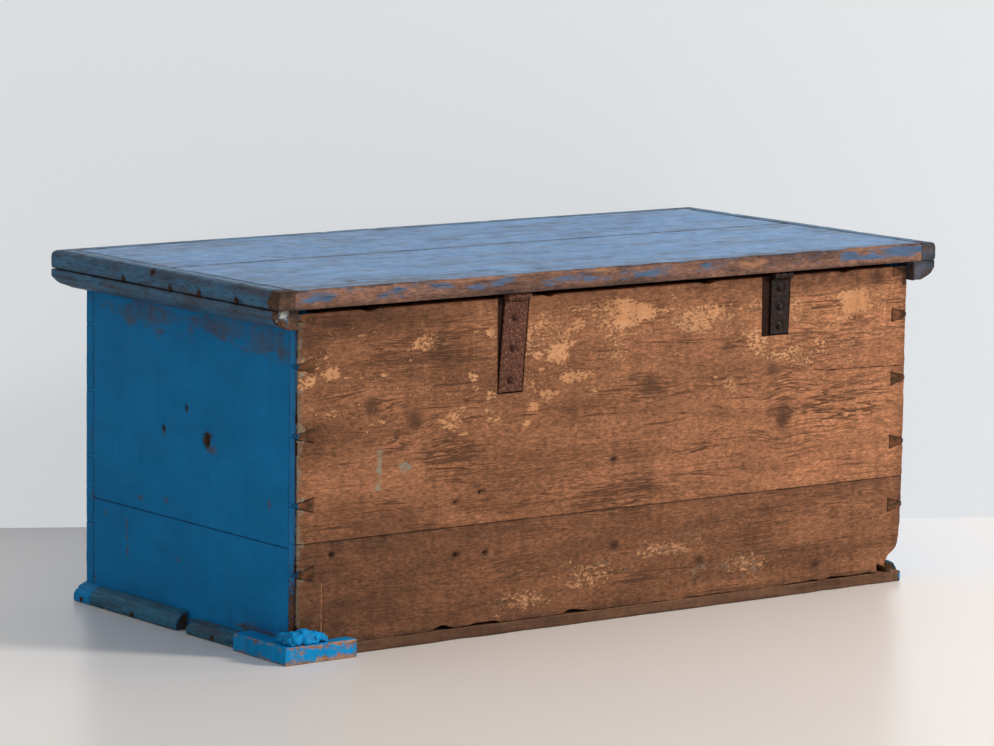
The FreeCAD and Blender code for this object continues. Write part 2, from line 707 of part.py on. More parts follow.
def add_nails(body, role, surface, outward, spots, length):
    shanks = new_sketch(body, role, surface - length if outward > 0 else surface)
    heads = new_sketch(body, role, surface if outward > 0 else surface - S.nail_head_thickness)
    for u, v in spots:
        add_circle(shanks, u, v, S.nail_radius)
        add_circle(heads, u, v, S.nail_head_radius)
    add_pad(body, shanks, length)
    add_pad(body, heads, S.nail_head_thickness)
    rim = number_of(surface + outward * S.nail_head_thickness)

    def on_rim(middle, edge):
        level = {"XY_Plane": middle.z, "XZ_Plane": -middle.y, "YZ_Plane": middle.x}[role]
        round_edge = edge.Length > 6 * S.nail_head_radius.number
        return round_edge and near(level, rim)

    add_fillet(body, edge_names(body, on_rim), S.nail_head_round)


for side, (place, width, length, lean, centre, room) in HINGES.items():
    nail_group("strap_nails_" + side, "XZ_Plane", S.barrel_radius - S.strap_thickness, -1,
               strap_nail_spots(width, length, lean), S.strap_nail_length,
               x=place, y=axis_depth, z=axis_height)

leaf_spots = []
for place, width, length, lean, centre, room in HINGES.values():
    for share in LEAF_NAIL_SHARES:
        leaf_spots.append((place, axis_depth - share * S.leaf_length))
nail_group("leaf_nails", "XY_Plane", axis_height + S.barrel_radius - S.strap_thickness, -1, leaf_spots,
           S.strap_nail_length)

# Nosing nails: the right end has them where they show, low on the nosing and one high; the left end and the
# front have them evenly spaced. Places along an end are shares of the half depth, heights are shares of the
# lid's thickness.
RIGHT_NOSING_SHARES = [(-0.39, 0.16), (-0.11, 0.82), (0.06, 0.14), (0.33, 0.14), (0.67, 0.16)]
LEFT_NOSING_SHARES = [(-0.60, 0.30), (-0.10, 0.25), (0.40, 0.30), (0.85, 0.35)]
FRONT_NOSING_SHARES = [-0.90, -0.62, -0.30, 0.02, 0.34, 0.60, 0.90]
FRONT_NAIL_HEIGHT_SHARE = 0.35


def nosing_spots(shares):
    return [(along * half_depth, lid_under + up * S.lid_thickness) for along, up in shares]


nosing_nails = nail_group("nosing_nails", "YZ_Plane", lid_end, 1, nosing_spots(RIGHT_NOSING_SHARES),
                          S.nosing_nail_length)
add_nails(nosing_nails, "YZ_Plane", -lid_end, -1, nosing_spots(LEFT_NOSING_SHARES), S.nosing_nail_length)
front_spots = [(along * half_length, lid_under + FRONT_NAIL_HEIGHT_SHARE * S.lid_thickness)
               for along in FRONT_NOSING_SHARES]
add_nails(nosing_nails, "XZ_Plane", -lid_front, 1, front_spots, S.nosing_nail_length)

# Nails up through the lid mouldings, from their flat undersides beside the walls
MOULDING_END_SHARES = [-0.80, -0.20, 0.35, 0.88]
MOULDING_FRONT_SHARES = [-0.85, -0.42, 0.0, 0.42, 0.85]
FLAT_MIDDLE_SHARE = FLAT_SHARE / 2
end_flat = half_length + S.wall_clearance + S.nail_head_radius
front_flat = -half_depth - S.wall_clearance - S.nail_head_radius
under_spots = [(sign * end_flat, along * half_depth) for sign in (1, -1) for along in MOULDING_END_SHARES]
under_spots += [(along * half_length, front_flat) for along in MOULDING_FRONT_SHARES]
nail_group("lid_moulding_nails", "XY_Plane", lid_under - S.lid_moulding_height, -1, under_spots,
           S.moulding_nail_length)

# Nails up through the floor boards into the walls, heads flush with the underside
FLOOR_SIDE_SHARES = [-0.88, -0.52, -0.17, 0.17, 0.52, 0.88]
FLOOR_END_SHARES = [-0.75, -0.45, -0.12, 0.12, 0.45, 0.75]
side_line = half_depth - S.side_thickness / 2
end_line = half_length - S.end_thickness / 2
floor_spots = [(along * half_length, sign * side_line) for sign in (1, -1) for along in FLOOR_SIDE_SHARES]
floor_spots += [(sign * end_line, along * half_depth) for sign in (1, -1) for along in FLOOR_END_SHARES]
nail_group("floor_nails", "XY_Plane", S.nail_head_thickness, -1, floor_spots, S.floor_nail_length)

# Nails through the noses of the base mouldings into the walls
BASE_NAIL_RISE_SHARE = 0.55
base_nail_height = BASE_NAIL_RISE_SHARE * S.base_nose
right_pieces = [(-half_depth, corner_seam), (corner_seam, break_front), (break_rear, block_end)]
right_spots = [((front + rear) / 2, base_nail_height) for front, rear in right_pieces]
left_spots = [(along * half_depth, base_nail_height) for along in (-0.6, 0.0, 0.6)]
base_front_spots = [(along * half_length, base_nail_height) for along in (-0.8, -0.4, 0.0, 0.4, 0.8)]
base_nails = nail_group("base_nails", "YZ_Plane", half_length + S.base_projection, 1, right_spots,
                        S.base_nail_length)
add_nails(base_nails, "YZ_Plane", -half_length - S.base_projection, -1, left_spots, S.base_nail_length)
add_nails(base_nails, "XZ_Plane", half_depth + S.front_base_projection, 1, base_front_spots,
          S.base_nail_length)

# Check every object and every piece, then write one file for each piece
document.recompute()
for item in document.Objects:
    if "Invalid" in item.State or "Error" in item.State:
        raise RuntimeError(item.Label + " has failed")
for part in parts:
    if part.Shape.isNull() or not part.Shape.isValid():
        raise RuntimeError(part.Label + " has no valid shape")

os.makedirs("parts", exist_ok=True)
for part in parts:
    part.Shape.exportStep("parts/" + part.Label + ".step")
    print(part.Label, len(part.Shape.Solids), "solids", round(part.Shape.Volume / 1000, 1), "cm3")
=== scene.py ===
# An old painted pine blanket chest, seen from its back and its right end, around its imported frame.
# Metres, Z up: X runs along the chest, +Y is its bare back with the hinges, +X is its painted right end.
import math
from itertools import product

import bmesh
import bpy
import numpy as np
from mathutils import Matrix, Vector
from mathutils.geometry import delaunay_2d_cdt


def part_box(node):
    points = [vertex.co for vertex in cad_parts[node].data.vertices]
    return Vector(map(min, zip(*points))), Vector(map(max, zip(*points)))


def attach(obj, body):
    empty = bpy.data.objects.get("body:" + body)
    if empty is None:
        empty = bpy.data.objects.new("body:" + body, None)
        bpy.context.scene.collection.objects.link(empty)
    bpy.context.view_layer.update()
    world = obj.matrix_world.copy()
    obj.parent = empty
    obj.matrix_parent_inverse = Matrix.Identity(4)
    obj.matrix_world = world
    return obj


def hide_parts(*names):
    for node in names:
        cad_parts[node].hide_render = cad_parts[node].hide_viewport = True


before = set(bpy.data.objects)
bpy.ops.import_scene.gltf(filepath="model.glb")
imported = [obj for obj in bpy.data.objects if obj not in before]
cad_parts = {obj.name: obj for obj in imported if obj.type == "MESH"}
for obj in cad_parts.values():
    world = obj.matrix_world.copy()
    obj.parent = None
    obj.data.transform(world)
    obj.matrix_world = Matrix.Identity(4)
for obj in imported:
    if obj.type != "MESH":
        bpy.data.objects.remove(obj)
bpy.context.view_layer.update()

# The studio: a pale polished floor and a pale backdrop a step behind the chest, one soft lamp low at the
# right of the picture, which lights the back and leaves the painted end in shade, and light all round.
CAMERA_PLACE, LENS_MM = Vector((4.09266, 5.44726, 1.28575)), 169.93
CAMERA_YAW, CAMERA_PITCH, CAMERA_ROLL = (math.radians(turn) for turn in (36.852, -8.0417, 0.7211))
LAMP_DIRECTION, LAMP_COLOUR = Vector((-0.557, 0.701, 0.438)), (1.0, 0.955, 0.89)
LAMP_DISTANCE, LAMP_SIZE, LAMP_WATTS, LAMP_LIFT = 8.0, 1.5, 418.0, Vector((0, 0, 0.25))
ROOM_LIGHT, ROOM_STRENGTH, SEEN_STRENGTH = (0.955, 0.965, 0.96), 0.38, 0.8
BACKDROP_FOOT, BACKDROP_ALONG = Vector((0.348, -0.849, 0.0)), Vector((-0.873, 0.487, 0.0))
FLOOR_REACH, WALL_REACH, WALL_RISE = 9.0, 7.0, Vector((0, 0, 4.0))
FLOOR_LOOK = (0.8, 0.775, 0.75), (0.98, 0.935, 0.905), (0, 0, 0), 0.32, 0.25
WALL_LOOK = (0.8, 0.81, 0.83), (0.3, 0.305, 0.31), (0.53, 0.545, 0.56), 0.9, 0.2


class Sum:
    """An output of a shader node that plain sums can be made of."""
    def __init__(self, socket):
        self.socket = socket

    def by(self, operation, *others, clamp=False):
        values = dict(enumerate((self, *others)))
        return put(self.socket.id_data, "Math", values, operation=operation, use_clamp=clamp)

    def __add__(self, other):
        return self.by("ADD", other)

    def __sub__(self, other):
        return self.by("SUBTRACT", other)

    def __mul__(self, other):
        return self.by("MULTIPLY", other)

    def __rsub__(self, other):
        return self.by("MULTIPLY_ADD", -1.0, other)

    def over(self, low=0.0, high=1.0, to=(0.0, 1.0)):
        """Spreads the values from low to high over 0 to 1, or over two others."""
        return put(self.socket.id_data, "MapRange", {"Value": self, "From Min": low, "From Max": high,
            "To Min": to[0], "To Max": to[1]})


def feed(node, inputs):
    """Gives inputs of a node, by name or number, values or outputs of other nodes. Colours are triples."""
    for key, value in inputs.items():
        if isinstance(value, Sum):
            node.id_data.links.new(value.socket, node.inputs[key])
        elif node.inputs[key].type == "RGBA":
            node.inputs[key].default_value = (*value, 1)
        else:
            node.inputs[key].default_value = value
    return node


def put(tree, kind, inputs=(), out=0, **settings):
    """Adds a shader node and gives one of its outputs."""
    node = tree.nodes.new("ShaderNode" + kind)
    for name, value in settings.items():
        setattr(node, name, value)
    return Sum(feed(node, dict(inputs)).outputs[out])


def tint(share, under, over, mode="MIX"):
    """Lays one colour over another by a share."""
    tree = next(value.socket.id_data for value in (share, under, over) if isinstance(value, Sum))
    return put(tree, "Mix", {0: share, 6: under, 7: over}, 2, data_type="RGBA", blend_type=mode)


def new_material(name):
    """A node material with its tree and its Principled shader."""
    material = bpy.data.materials.new(name)
    material.use_nodes = True
    return material, material.node_tree, material.node_tree.nodes["Principled BSDF"]


def new_object(name, data):
    thing = bpy.data.objects.new(name, data)
    bpy.context.scene.collection.objects.link(thing)
    return thing


def mesh_object(name, vertices, faces, material):
    mesh = bpy.data.meshes.new(name)
    mesh.from_pydata(vertices, [], faces)
    mesh.materials.append(material)
    return new_object(name, mesh)


def stage_sheet(name, corners, colour, seen, glow, roughness, specular):
    """A one-sided sheet of the studio: clear from behind, and paler to the camera than to the light."""
    material, tree, shader = new_material(name)
    camera_ray = put(tree, "LightPath", out="Is Camera Ray")
    straight = camera_ray.by("MAXIMUM", put(tree, "LightPath", out="Is Glossy Ray"))
    feed(shader, {"Base Color": tint(camera_ray, colour, seen), "Roughness": roughness,
        "Emission Color": glow, "Emission Strength": straight, "Specular IOR Level": specular})
    surface = {0: put(tree, "NewGeometry", out="Backfacing"), 1: Sum(shader.outputs[0]),
        2: put(tree, "BsdfTransparent")}
    feed(tree.nodes["Material Output"], {"Surface": put(tree, "MixShader", surface)})
    mesh_object(name, corners, [(0, 1, 2, 3)], material)


ahead = Vector((-math.sin(CAMERA_YAW) * math.cos(CAMERA_PITCH),
    -math.cos(CAMERA_YAW) * math.cos(CAMERA_PITCH), math.sin(CAMERA_PITCH)))
level = ahead.cross(Vector((0, 0, 1))).normalized()
upright = level.cross(ahead)
camera_axes = Matrix((math.cos(CAMERA_ROLL) * level + math.sin(CAMERA_ROLL) * upright,
    math.cos(CAMERA_ROLL) * upright - math.sin(CAMERA_ROLL) * level, -ahead)).transposed()
camera = new_object("camera", bpy.data.cameras.new("camera"))
camera.data.lens = LENS_MM
camera.data.sensor_width = 36.0
camera.data.sensor_fit = "HORIZONTAL"
camera.data.clip_end = 60.0
camera.matrix_world = Matrix.Translation(CAMERA_PLACE) @ camera_axes.to_4x4()
bpy.context.scene.camera = camera

floor_corners = [(x * FLOOR_REACH, y * FLOOR_REACH, 0) for x, y in ((-1, -1), (1, -1), (1, 1), (-1, 1))]
stage_sheet("floor", floor_corners, *FLOOR_LOOK)
wall_ends = [BACKDROP_FOOT + way * WALL_REACH * BACKDROP_ALONG for way in (-1, 1)]
stage_sheet("backdrop", [*wall_ends, wall_ends[1] + WALL_RISE, wall_ends[0] + WALL_RISE], *WALL_LOOK)

lamp = new_object("lamp", bpy.data.lights.new("lamp", "AREA"))
lamp.data.shape = "DISK"
lamp.data.size = LAMP_SIZE
lamp.data.energy = LAMP_WATTS
lamp.data.color = LAMP_COLOUR
lamp.location = LAMP_DIRECTION * LAMP_DISTANCE + LAMP_LIFT
lamp.rotation_euler = LAMP_DIRECTION.to_track_quat("Z", "Y").to_euler()

world = bpy.data.worlds.new("room")
world.use_nodes = True
bpy.context.scene.world = world
kinds = "Camera", "Glossy", "Transmission"
rays = [put(world.node_tree, "LightPath", out=f"Is {kind} Ray") for kind in kinds]
seen_rays = rays[0].by("MAXIMUM", rays[1]).by("MAXIMUM", rays[2])
strength = seen_rays.over(to=(ROOM_STRENGTH, SEEN_STRENGTH))
feed(world.node_tree.nodes["Background"], {"Color": ROOM_LIGHT, "Strength": strength})
bpy.context.scene.view_settings.view_transform = "Standard"

# The back: two wide pine boards, tails at both ends, never painted. Brown with age, with ochre flakes of an
# old wash, knots, hammered grain and water stains, and housings for the hinge straps in the top edge.
MM = 0.001
BACK_OCHRE, BACK_STAIN = (0.71, 0.36, 0.185), (0.058, 0.029, 0.019)
BACK_WOOD = (0.152, 0.066, 0.034), (0.47, 0.2, 0.1)
WALL_COAT = (0.007, 0.238, 0.56), (0.006, 0.182, 0.436)
HALF_LENGTH, BACK_PLANE, BACK_TOP, JOINT_LEVEL, FLOOR_TOP = 548, 270, 476, 160.3, 16
SCRATCH_X, SCRATCH_FOOT, SCRATCH_TOP = 506.5, 30, 105
BACK_KNOTS = ((425, 339, 15, 15), (-61, 334, 22, 17), (-311, 271, 14, 24), (-290, 339, 13, 10),
    (352, 318, 16, 14))
BACK_FLAKES = ((-39, 440, 44, 20, 1.3), (-155, 421, 62, 23, 1.05), (-441, 425, 39, 23, 1.25),
    (22, 446, 30, 20, 0.9), (104, 396, 23, 17, 1.25), (82, 356, 32, 10, 1.2), (126, 336, 17, 9, 1.1),
    (291, 309, 20, 13, 1), (267, 291, 16, 6, 0.9), (492, 392, 17, 12, 1.2), (528, 382, 14, 8, 1.15),
    (344, 422, 20, 9, 1), (253, 368, 12, 9, 1.1), (-264, 382, 20, 32, 0.95), (-210, 323, 15, 11, 1),
    (-200, 416, 60, 24, 0.7), (71, 431, 20, 10, 1.1), (-361, 420, 34, 16, 0.75), (222, 341, 7, 6, 1.1),
    (148, 319, 8, 6, 1.3), (160, 296, 10, 6, 1.2), (217, 307, 14, 4, 1), (404, 382, 12, 4, 1),
    (459, 385, 22, 4, 0.9), (360, 399, 8, 6, 0.9), (222, 458, 12, 5, 1), (220, 425, 12, 9, 1),
    (158, 428, 8, 12, 1), (135, 369, 6, 6, 1), (142, 392, 14, 6, 1.1), (225, 319, 24, 6, 0.9),
    (271, 326, 9, 6, 1), (411, 317, 12, 4, 1), (446, 343, 6, 8, 0.8), (41, 443, 14, 7, 1),
    (-35, 411, 40, 8, 0.8), (-411, 374, 90, 30, 0.6), (-300, 400, 40, 30, 0.6), (420, 300, 60, 40, 0.4),
    (-480, 300, 60, 80, 0.45))
GREEN_SMEARS = ((411, 258, 5, 24), (369, 252, 7, 7))
BACK_STAINS = ((298, 417, 20, 38), (-50, 202, 22, 38), (-124, 409, 24, 22), (-208, 396, 26, 25),
    (446, 458, 96, 20), (520, 429, 24, 24), (-400, 464, 170, 15), (250, 268, 26, 12), (187, 186, 60, 14),
    (418, 176, 80, 22), (-310, 269, 18, 26), (90, 300, 40, 26))
BACK_HAMMERED = ((390, 289, 36, 20), (297, 265, 44, 24), (342, 416, 90, 30), (306, 282, 24, 18),
    (401, 339, 34, 18), (-315, 299, 26, 50), (-420, 282, 90, 40), (-57, 328, 40, 20), (-10, 180, 90, 30),
    (-400, 380, 110, 40, 0.7), (120, 230, 160, 40, 0.5), (-430, 140, 90, 30, 0.6))
BACK_HOLES = ((2, 232, 4.5, 4), (239, 206, 5, 4), (281, 196, 4, 3), (-379, 41, 6, 2), (280, 121, 6, 4),
    (229, 119, 5, 4), (490, 142, 5, 4), (0, 108, 7, 2.5), (-160, 70, 6, 2.5))
BACK_SCUFFS = ((149, 46, 50, 16), (42, 67, 60, 20), (-85, 92, 70, 12), (-254, 54, 50, 18))
BACK_PALE = ((400, 235, 140, 50), (-420, 385, 140, 70, 1.2), (-440, 300, 100, 70, 0.7))
BACK_NOTCHES = ((430, 11, 3.5), (121, 9, 3), (-166, 13, 3.5), (-425, 9, 3))
CHEWED = (0, 6, 16, 18, 30, 41, 50, 58, 90), (-546, -548, -544, -519, -518, -523, -536, -542, -546)
BACK_CRACKS = (([(-540, 327), (-470, 329), (-400, 330), (-371, 333)], 1.3, 3),
    ([(255, 240), (285, 244), (330, 246)], 1.2, 2.2), ([(334, 256), (300, 250)], 1, 1.6),
    ([(350, 270), (300, 268), (262, 272)], 1, 1.4), ([(300, 282), (255, 278)], 1, 1.4))
HOUSING_LEVEL, HOUSING_DEPTH, HOUSING_GROWTH = 266, 4, ((0, -1), (0, -1), (1, 0), (0, 0))
RIM_REACH, RING_OFFSETS, POCKET_LIP, SIDE_LIP = 12, (0.25, 0.8, 1.7), 0.25, 0.15


def unit(values):
    return np.clip(values, 0, 1)


def flat3(points):
    return np.pad(points, ((0, 0), (0, 1)))


def noise(points, cell, seed):
    """Smooth noise between -1 and 1. The cell is the size of its lumps, one value or one for each axis."""
    places = points / np.broadcast_to(np.asarray(cell, float), (3,))
    base = np.floor(places).astype(np.int64)
    part = places - base
    part = part * part * (3 - 2 * part)
    total = np.zeros(len(points))
    for corner in product((0, 1), repeat=3):
        key = ((base + corner) * (374761393, 668265263, 974711)).sum(1) + seed * 1274126177
        key = (key ^ (key >> 13)) * 1274126177
        key = ((key ^ (key >> 16)) & 0xffffff) / 0x7fffff - 1
        total += key * np.where(corner, part, 1 - part).prod(1)
    return total


def rough(points, cell, seed, octaves=3):
    """Noise with finer and finer lumps, each half as strong."""
    return sum(noise(points, np.array(cell) / 2 ** k, seed + k) * 0.5 ** k for k in range(octaves))


def lumps(points, cell, seed, above=0):
    """The part of the rough noise that stands above a level."""
    return unit(rough(points, cell, seed) - above)


def swell(points, height, cell, seed):
    return height * (1 + noise(points, cell, seed))


def spots(x, y, places, seed=0, ragged=0):
    """How deep each point lies in oval spots (place, place, half width, half height and, if it isn't 1, how
    strong the spot is)."""
    wander = 1 + ragged * rough(np.stack((x, y, 0 * x), 1), (26, 9, 1), seed)
    deepest = np.zeros(len(x))
    for u, v, half_u, half_v, *strength in places:
        reach = np.hypot((x - u) / half_u, (y - v) / half_v) * wander
        deepest = np.maximum(deepest, unit(1.5 - reach) * (strength or [1])[0])
    return deepest


def pits(points, places, reach=1.3):
    """How deep oval dents (place, place, half width, half height, depth) sink each point."""
    return sum(depth * unit(reach - np.hypot((points[:, 0] - u) / half_u, (points[:, 1] - v) / half_v))
        for u, v, half_u, half_v, depth in places)


def drop(distance, radius):
    """How far a rounded arris lies below the flat, at a distance in from its edge."""
    inner = np.clip(radius - distance, 0, radius)
    return radius - np.sqrt(np.maximum(radius ** 2 - inner ** 2, 0))


def cad_shape(node, gap=1e-5):
    """A CAD piece's own shape, its doubled corners joined."""
    shape = bmesh.new()
    shape.from_mesh(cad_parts[node].data)
    bmesh.ops.remove_doubles(shape, verts=shape.verts, dist=gap)
    return shape


def outlines(node, axis, level):
    """Outlines of the flat faces that a CAD piece has at a level, largest first: millimetres, anticlockwise,
    each from its lower left corner."""
    shape = cad_shape(node, 2e-5)
    flat = {f for f in shape.faces if all(abs(v.co[axis] - level * MM) < 2e-5 for v in f.verts)}
    following = {loop.vert.index: loop.link_loop_next.vert.index for face in flat for loop in face.loops
        if sum(f in flat for f in loop.edge.link_faces) == 1}
    sides = [a for a in range(3) if a != axis]
    shape.verts.ensure_lookup_table()
    tidy = []
    while following:
        at = next(iter(following))
        chain = []
        while at in following:
            chain.append([shape.verts[at].co[a] / MM for a in sides])
            at = following.pop(at)
        loop = np.array(chain)
        ahead = np.roll(loop, -1, 0)
        area = 0.5 * (loop[:, 0] * ahead[:, 1] - ahead[:, 0] * loop[:, 1]).sum()
        loop = loop if area > 0 else loop[::-1]
        before, ahead = loop - np.roll(loop, 1, 0), np.roll(loop, -1, 0) - loop
        turn = before[:, 0] * ahead[:, 1] - before[:, 1] * ahead[:, 0]
        loop = loop[np.abs(turn) > 1e-3 * sizes(before) * sizes(ahead)]
        tidy.append((-abs(area), np.roll(loop, -int(np.argmin(loop.sum(1))), 0)))
    shape.free()
    return [loop for _, loop in sorted(tidy, key=lambda entry: entry[0])]


def sizes(vectors):
    return np.linalg.norm(vectors, axis=1)


def line_distance(points, trail):
    nearest = np.full(len(points), 1e9)
    for start, stop in zip(trail[:-1], trail[1:]):
        way = stop - start
        share = unit(((points - start) @ way) / max(way @ way, 1e-9))
        nearest = np.minimum(nearest, sizes(points - start - share[:, None] * way))
    return nearest


def edge_distance(points, loop):
    return line_distance(points, np.concatenate((loop, loop[:1])))


def within(points, loop):
    x, y = points.T
    odd = np.zeros(len(points), bool)
    for (u, v), (next_u, next_v) in zip(loop, np.roll(loop, -1, 0)):
        if v != next_v:
            odd ^= ((v > y) != (next_v > y)) & (x < u + (y - v) * (next_u - u) / (next_v - v))
    return odd


def inward_normals(loop):
    way = np.roll(loop, -1, 0) - np.roll(loop, 1, 0)
    return np.stack((-way[:, 1], way[:, 0]), 1) / np.maximum(sizes(way), 1e-9)[:, None]


def triangles(points, closed, lines=()):
    """Triangulates an area. Its outline is the first points, in order; lines are pairs that stay edges."""
    edges = [(i, (i + 1) % closed) for i in range(closed)] + list(lines)
    result = delaunay_2d_cdt([Vector(p) for p in points], edges, [list(range(closed))], 1, 1e-4, True)
    places = np.array([v[:] for v in result[0]])
    rim = np.zeros(closed, int)
    for number, sources in enumerate(result[3]):
        for source in sources:
            if source < closed:
                rim[source] = number
    on_rim = set(rim.tolist())
    sure = [tuple(f) for f in result[2] if not on_rim.issuperset(f)]
    doubtful = [tuple(f) for f in result[2] if on_rim.issuperset(f)]
    if doubtful:
        inside = within(np.array([places[list(f)].mean(0) for f in doubtful]), places[rim])
        sure += [f for f, kept in zip(doubtful, inside) if kept]
    return places, sure, rim


def grid_points(low, high, cell):
    return np.stack(np.meshgrid(*(np.arange(a, b, cell) for a, b in zip(low, high))), -1).reshape(-1, 2)


def rim_distance(points, corners, rim):
    """How far points lie inside a frayed rim. Far from it the plain corners serve as well."""
    distance = edge_distance(points, corners)
    near = distance < 2 * RIM_REACH
    distance[near] = edge_distance(points[near], rim) * np.where(within(points[near], rim), 1, -1)
    return distance


def quads(ring, following):
    return np.stack((ring, np.roll(ring, -1), np.roll(following, -1), following), 1).tolist()


def joined(layers):
    """Columns of layers of points. A layer gives its points first, then one value or one for each point."""
    def full(values, layer):
        return np.broadcast_to(values, (len(layer[0]), *np.shape(values)[1:]))
    return [np.concatenate([full(*pair) for pair in zip(column, layers)]) for column in zip(*layers)]


def cut_points(trail, width, spacing=2.5):
    """Points along a crack and to its sides, so that the mesh has an edge in its depth."""
    way = np.concatenate(([0], np.cumsum(sizes(np.diff(trail, axis=0)))))
    at = np.linspace(0, way[-1], max(3, int(way[-1] / spacing)))
    trail = np.stack([np.interp(at, way, trail[:, k]) for k in range(2)], 1)
    side = np.gradient(trail, axis=0)
    side = np.stack((-side[:, 1], side[:, 0]), 1) / sizes(side)[:, None]
    return [trail + side * share * width for share in (-1, -0.5, 0, 0.5, 1)]


def worn_board(node, axes, outward, look, marks, wear, rounding, fray=np.copy, cuts=(), pockets=(), cell=3,
        prism=False, low_round=0.8, row=5):
    """A board with a worn face. Axes name its length, width and thickness; outward is the way that its
    worn face looks. Wear sinks the face, fray moves the outline, cuts are cracks (places, width, depth) and
    pockets are the housings in its upper edge (corners, depth). Marks gives what the finish reads."""
    length, width, thick = ("xyz".index(a) for a in axes)
    low, high = (corner[thick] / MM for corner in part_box(node))
    face_level, back_level = (high, low)[::outward]
    thickness = high - low
    corners_back = outlines(node, thick, back_level)[0]
    corners = corners_back if prism else outlines(node, thick, face_level)[0]
    lips = []
    for loop, _ in pockets:
        lips.append(loop[[3, 0, 1, 2]])
        lips.append(lips[-1] + POCKET_LIP * np.array(((1, 0), (1, 1), (-1, 1), (-1, 0))))
    face_rim, back_rim = [], []
    for a, b, c, d in zip(corners, np.roll(corners, -1, 0), corners_back, np.roll(corners_back, -1, 0)):
        steps = max(1, math.ceil(max(np.linalg.norm(b - a), np.linalg.norm(d - c)) / cell))
        shares = set((np.arange(steps) / steps).round(6))
        for stop in (lip[k] for lip in lips for k in (0, 3)):
            share = ((stop - a) @ (b - a)) / ((b - a) @ (b - a))
            if 0 < share < 1 and np.linalg.norm(a + (b - a) * share - stop) < 0.01:
                shares.add(share)
        shares = np.array(sorted(shares))[:, None]
        face_rim.append(a + (b - a) * shares)
        back_rim.append(c + (d - c) * shares)
    face_rim, back_rim = fray(np.concatenate(face_rim)), fray(np.concatenate(back_rim))
    normals, count = inward_normals(face_rim), len(face_rim)

    grid = grid_points(corners.min(0) + cell / 2, corners.max(0), cell)
    grid = grid[within(grid, corners)]
    loose = [grid[rim_distance(grid, corners, face_rim) > 0.8 * cell]]
    for offset in RING_OFFSETS:
        ring = face_rim + normals * offset
        loose.append(ring[(edge_distance(ring, face_rim) > 0.9 * offset) & within(ring, face_rim)])
    for trail, cut_width, _ in cuts:
        loose += cut_points(np.array(trail, float), cut_width)
    first = count + sum(len(p) for p in loose)
    lines = [(first + 4 * k + i, first + 4 * k + i + 1) for k in range(len(lips)) for i in range(3)]
    places, faces, rim = triangles(np.concatenate([face_rim, *loose, *lips]), count, lines)

    flat, distance = flat3(places), rim_distance(places, corners, face_rim)
    sunk = drop(distance, rounding(flat)) + wear(flat, distance)
    for trail, cut_width, cut_depth in cuts:
        away = line_distance(places, np.array(trail, float)) / (0.5 * cut_width)
        sunk = sunk + cut_depth * unit(1.1 - away)
    for (ll, lr, ur, ul), pocket_depth in pockets:
        u, v = places.T
        rise, lip = (v - ll[1]) / (ul[1] - ll[1]), 0.5 * POCKET_LIP
        left, right = ll[0] + rise * (ul[0] - ll[0]), lr[0] + rise * (ur[0] - lr[0])
        sunk = np.where((u > left + lip) & (u < right - lip) & (v > ll[1] + lip), pocket_depth, sunk)

    layers = [(places, sunk, 0, distance)]
    rows = np.linspace(0, 1, max(2, round(thickness / row)) + 1)[1:]
    depths = [sunk[rim] + SIDE_LIP,
        *(sunk[rim] + (thickness - low_round - sunk[rim]) * share for share in rows)]
    depths.append(np.full(count, thickness - 0.3 * low_round))
    for depth, inset in zip(depths, [0] * (len(depths) - 1) + [0.35 * low_round]):
        layers.append((face_rim + (back_rim - face_rim) * (depth / thickness)[:, None] + normals * inset,
            depth, 1, np.minimum(depth, thickness - depth)))
    back, back_faces, back_order = triangles(back_rim + inward_normals(back_rim) * low_round, count)
    layers.append((back, thickness, 2, edge_distance(back, corners_back)))
    first_back = len(places) + len(depths) * count
    rings = [rim, *(len(places) + k * count + np.arange(count) for k in range(len(depths)))]
    rings.append(first_back + back_order)
    for upper, lower in zip(rings[:-1], rings[1:]):
        faces += quads(upper, lower)
    faces += [tuple(first_back + i for i in face) for face in back_faces]
    places, depth, zone, edge = joined(layers)
    xyz = np.zeros((len(places), 3))
    xyz[:, [length, width]] = places
    xyz[:, thick] = face_level - outward * depth
    timber_piece(node, xyz, faces, look, marks(xyz, zone, edge))


def hand_over(piece, node, slot, body):
    """Hangs a piece on what it rides on and hides the CAD piece that it stands for. The slot, what it is
    made of, is not used.
    """
    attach(piece, body)
    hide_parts(node)


def timber_piece(node, xyz, faces, look, marks, ending="worn", smooth=40):
    """A finished piece from points in millimetres, with its marks kept as attributes of the mesh. Its
    look is a finish, a slot and a body."""
    piece = mesh_object(f"{node}_{ending}", (xyz * MM).tolist(), faces, look[0])
    shape = bmesh.new()
    shape.from_mesh(piece.data)
    bmesh.ops.recalc_face_normals(shape, faces=shape.faces)
    shape.to_mesh(piece.data)
    shape.free()
    grain = (marks.pop("grain") * MM).astype(np.float32)
    piece.data.attributes.new("grain", "FLOAT_VECTOR", "POINT").data.foreach_set("vector", grain.ravel())
    for label, values in marks.items():
        values = np.broadcast_to(values if label == "tone" else unit(values), len(xyz)).astype(np.float32)
        piece.data.attributes.new(label, "FLOAT", "POINT").data.foreach_set("value", values)
    piece.data.shade_smooth()
    piece.data.set_sharp_from_angle(angle=math.radians(smooth))
    hand_over(piece, node, *look[1:])


def group_tree(name, inputs, outputs):
    """An empty shader group, its inputs and its output node. Sockets are names with their kinds."""
    tree = bpy.data.node_groups.new(name, "ShaderNodeTree")
    for way, sockets in (("INPUT", inputs), ("OUTPUT", outputs)):
        for label, kind in sockets.items():
            tree.interface.new_socket(label, in_out=way, socket_type="NodeSocket" + kind)
    given = {socket.name: Sum(socket) for socket in tree.nodes.new("NodeGroupInput").outputs if socket.name}
    return tree, given, tree.nodes.new("NodeGroupOutput")


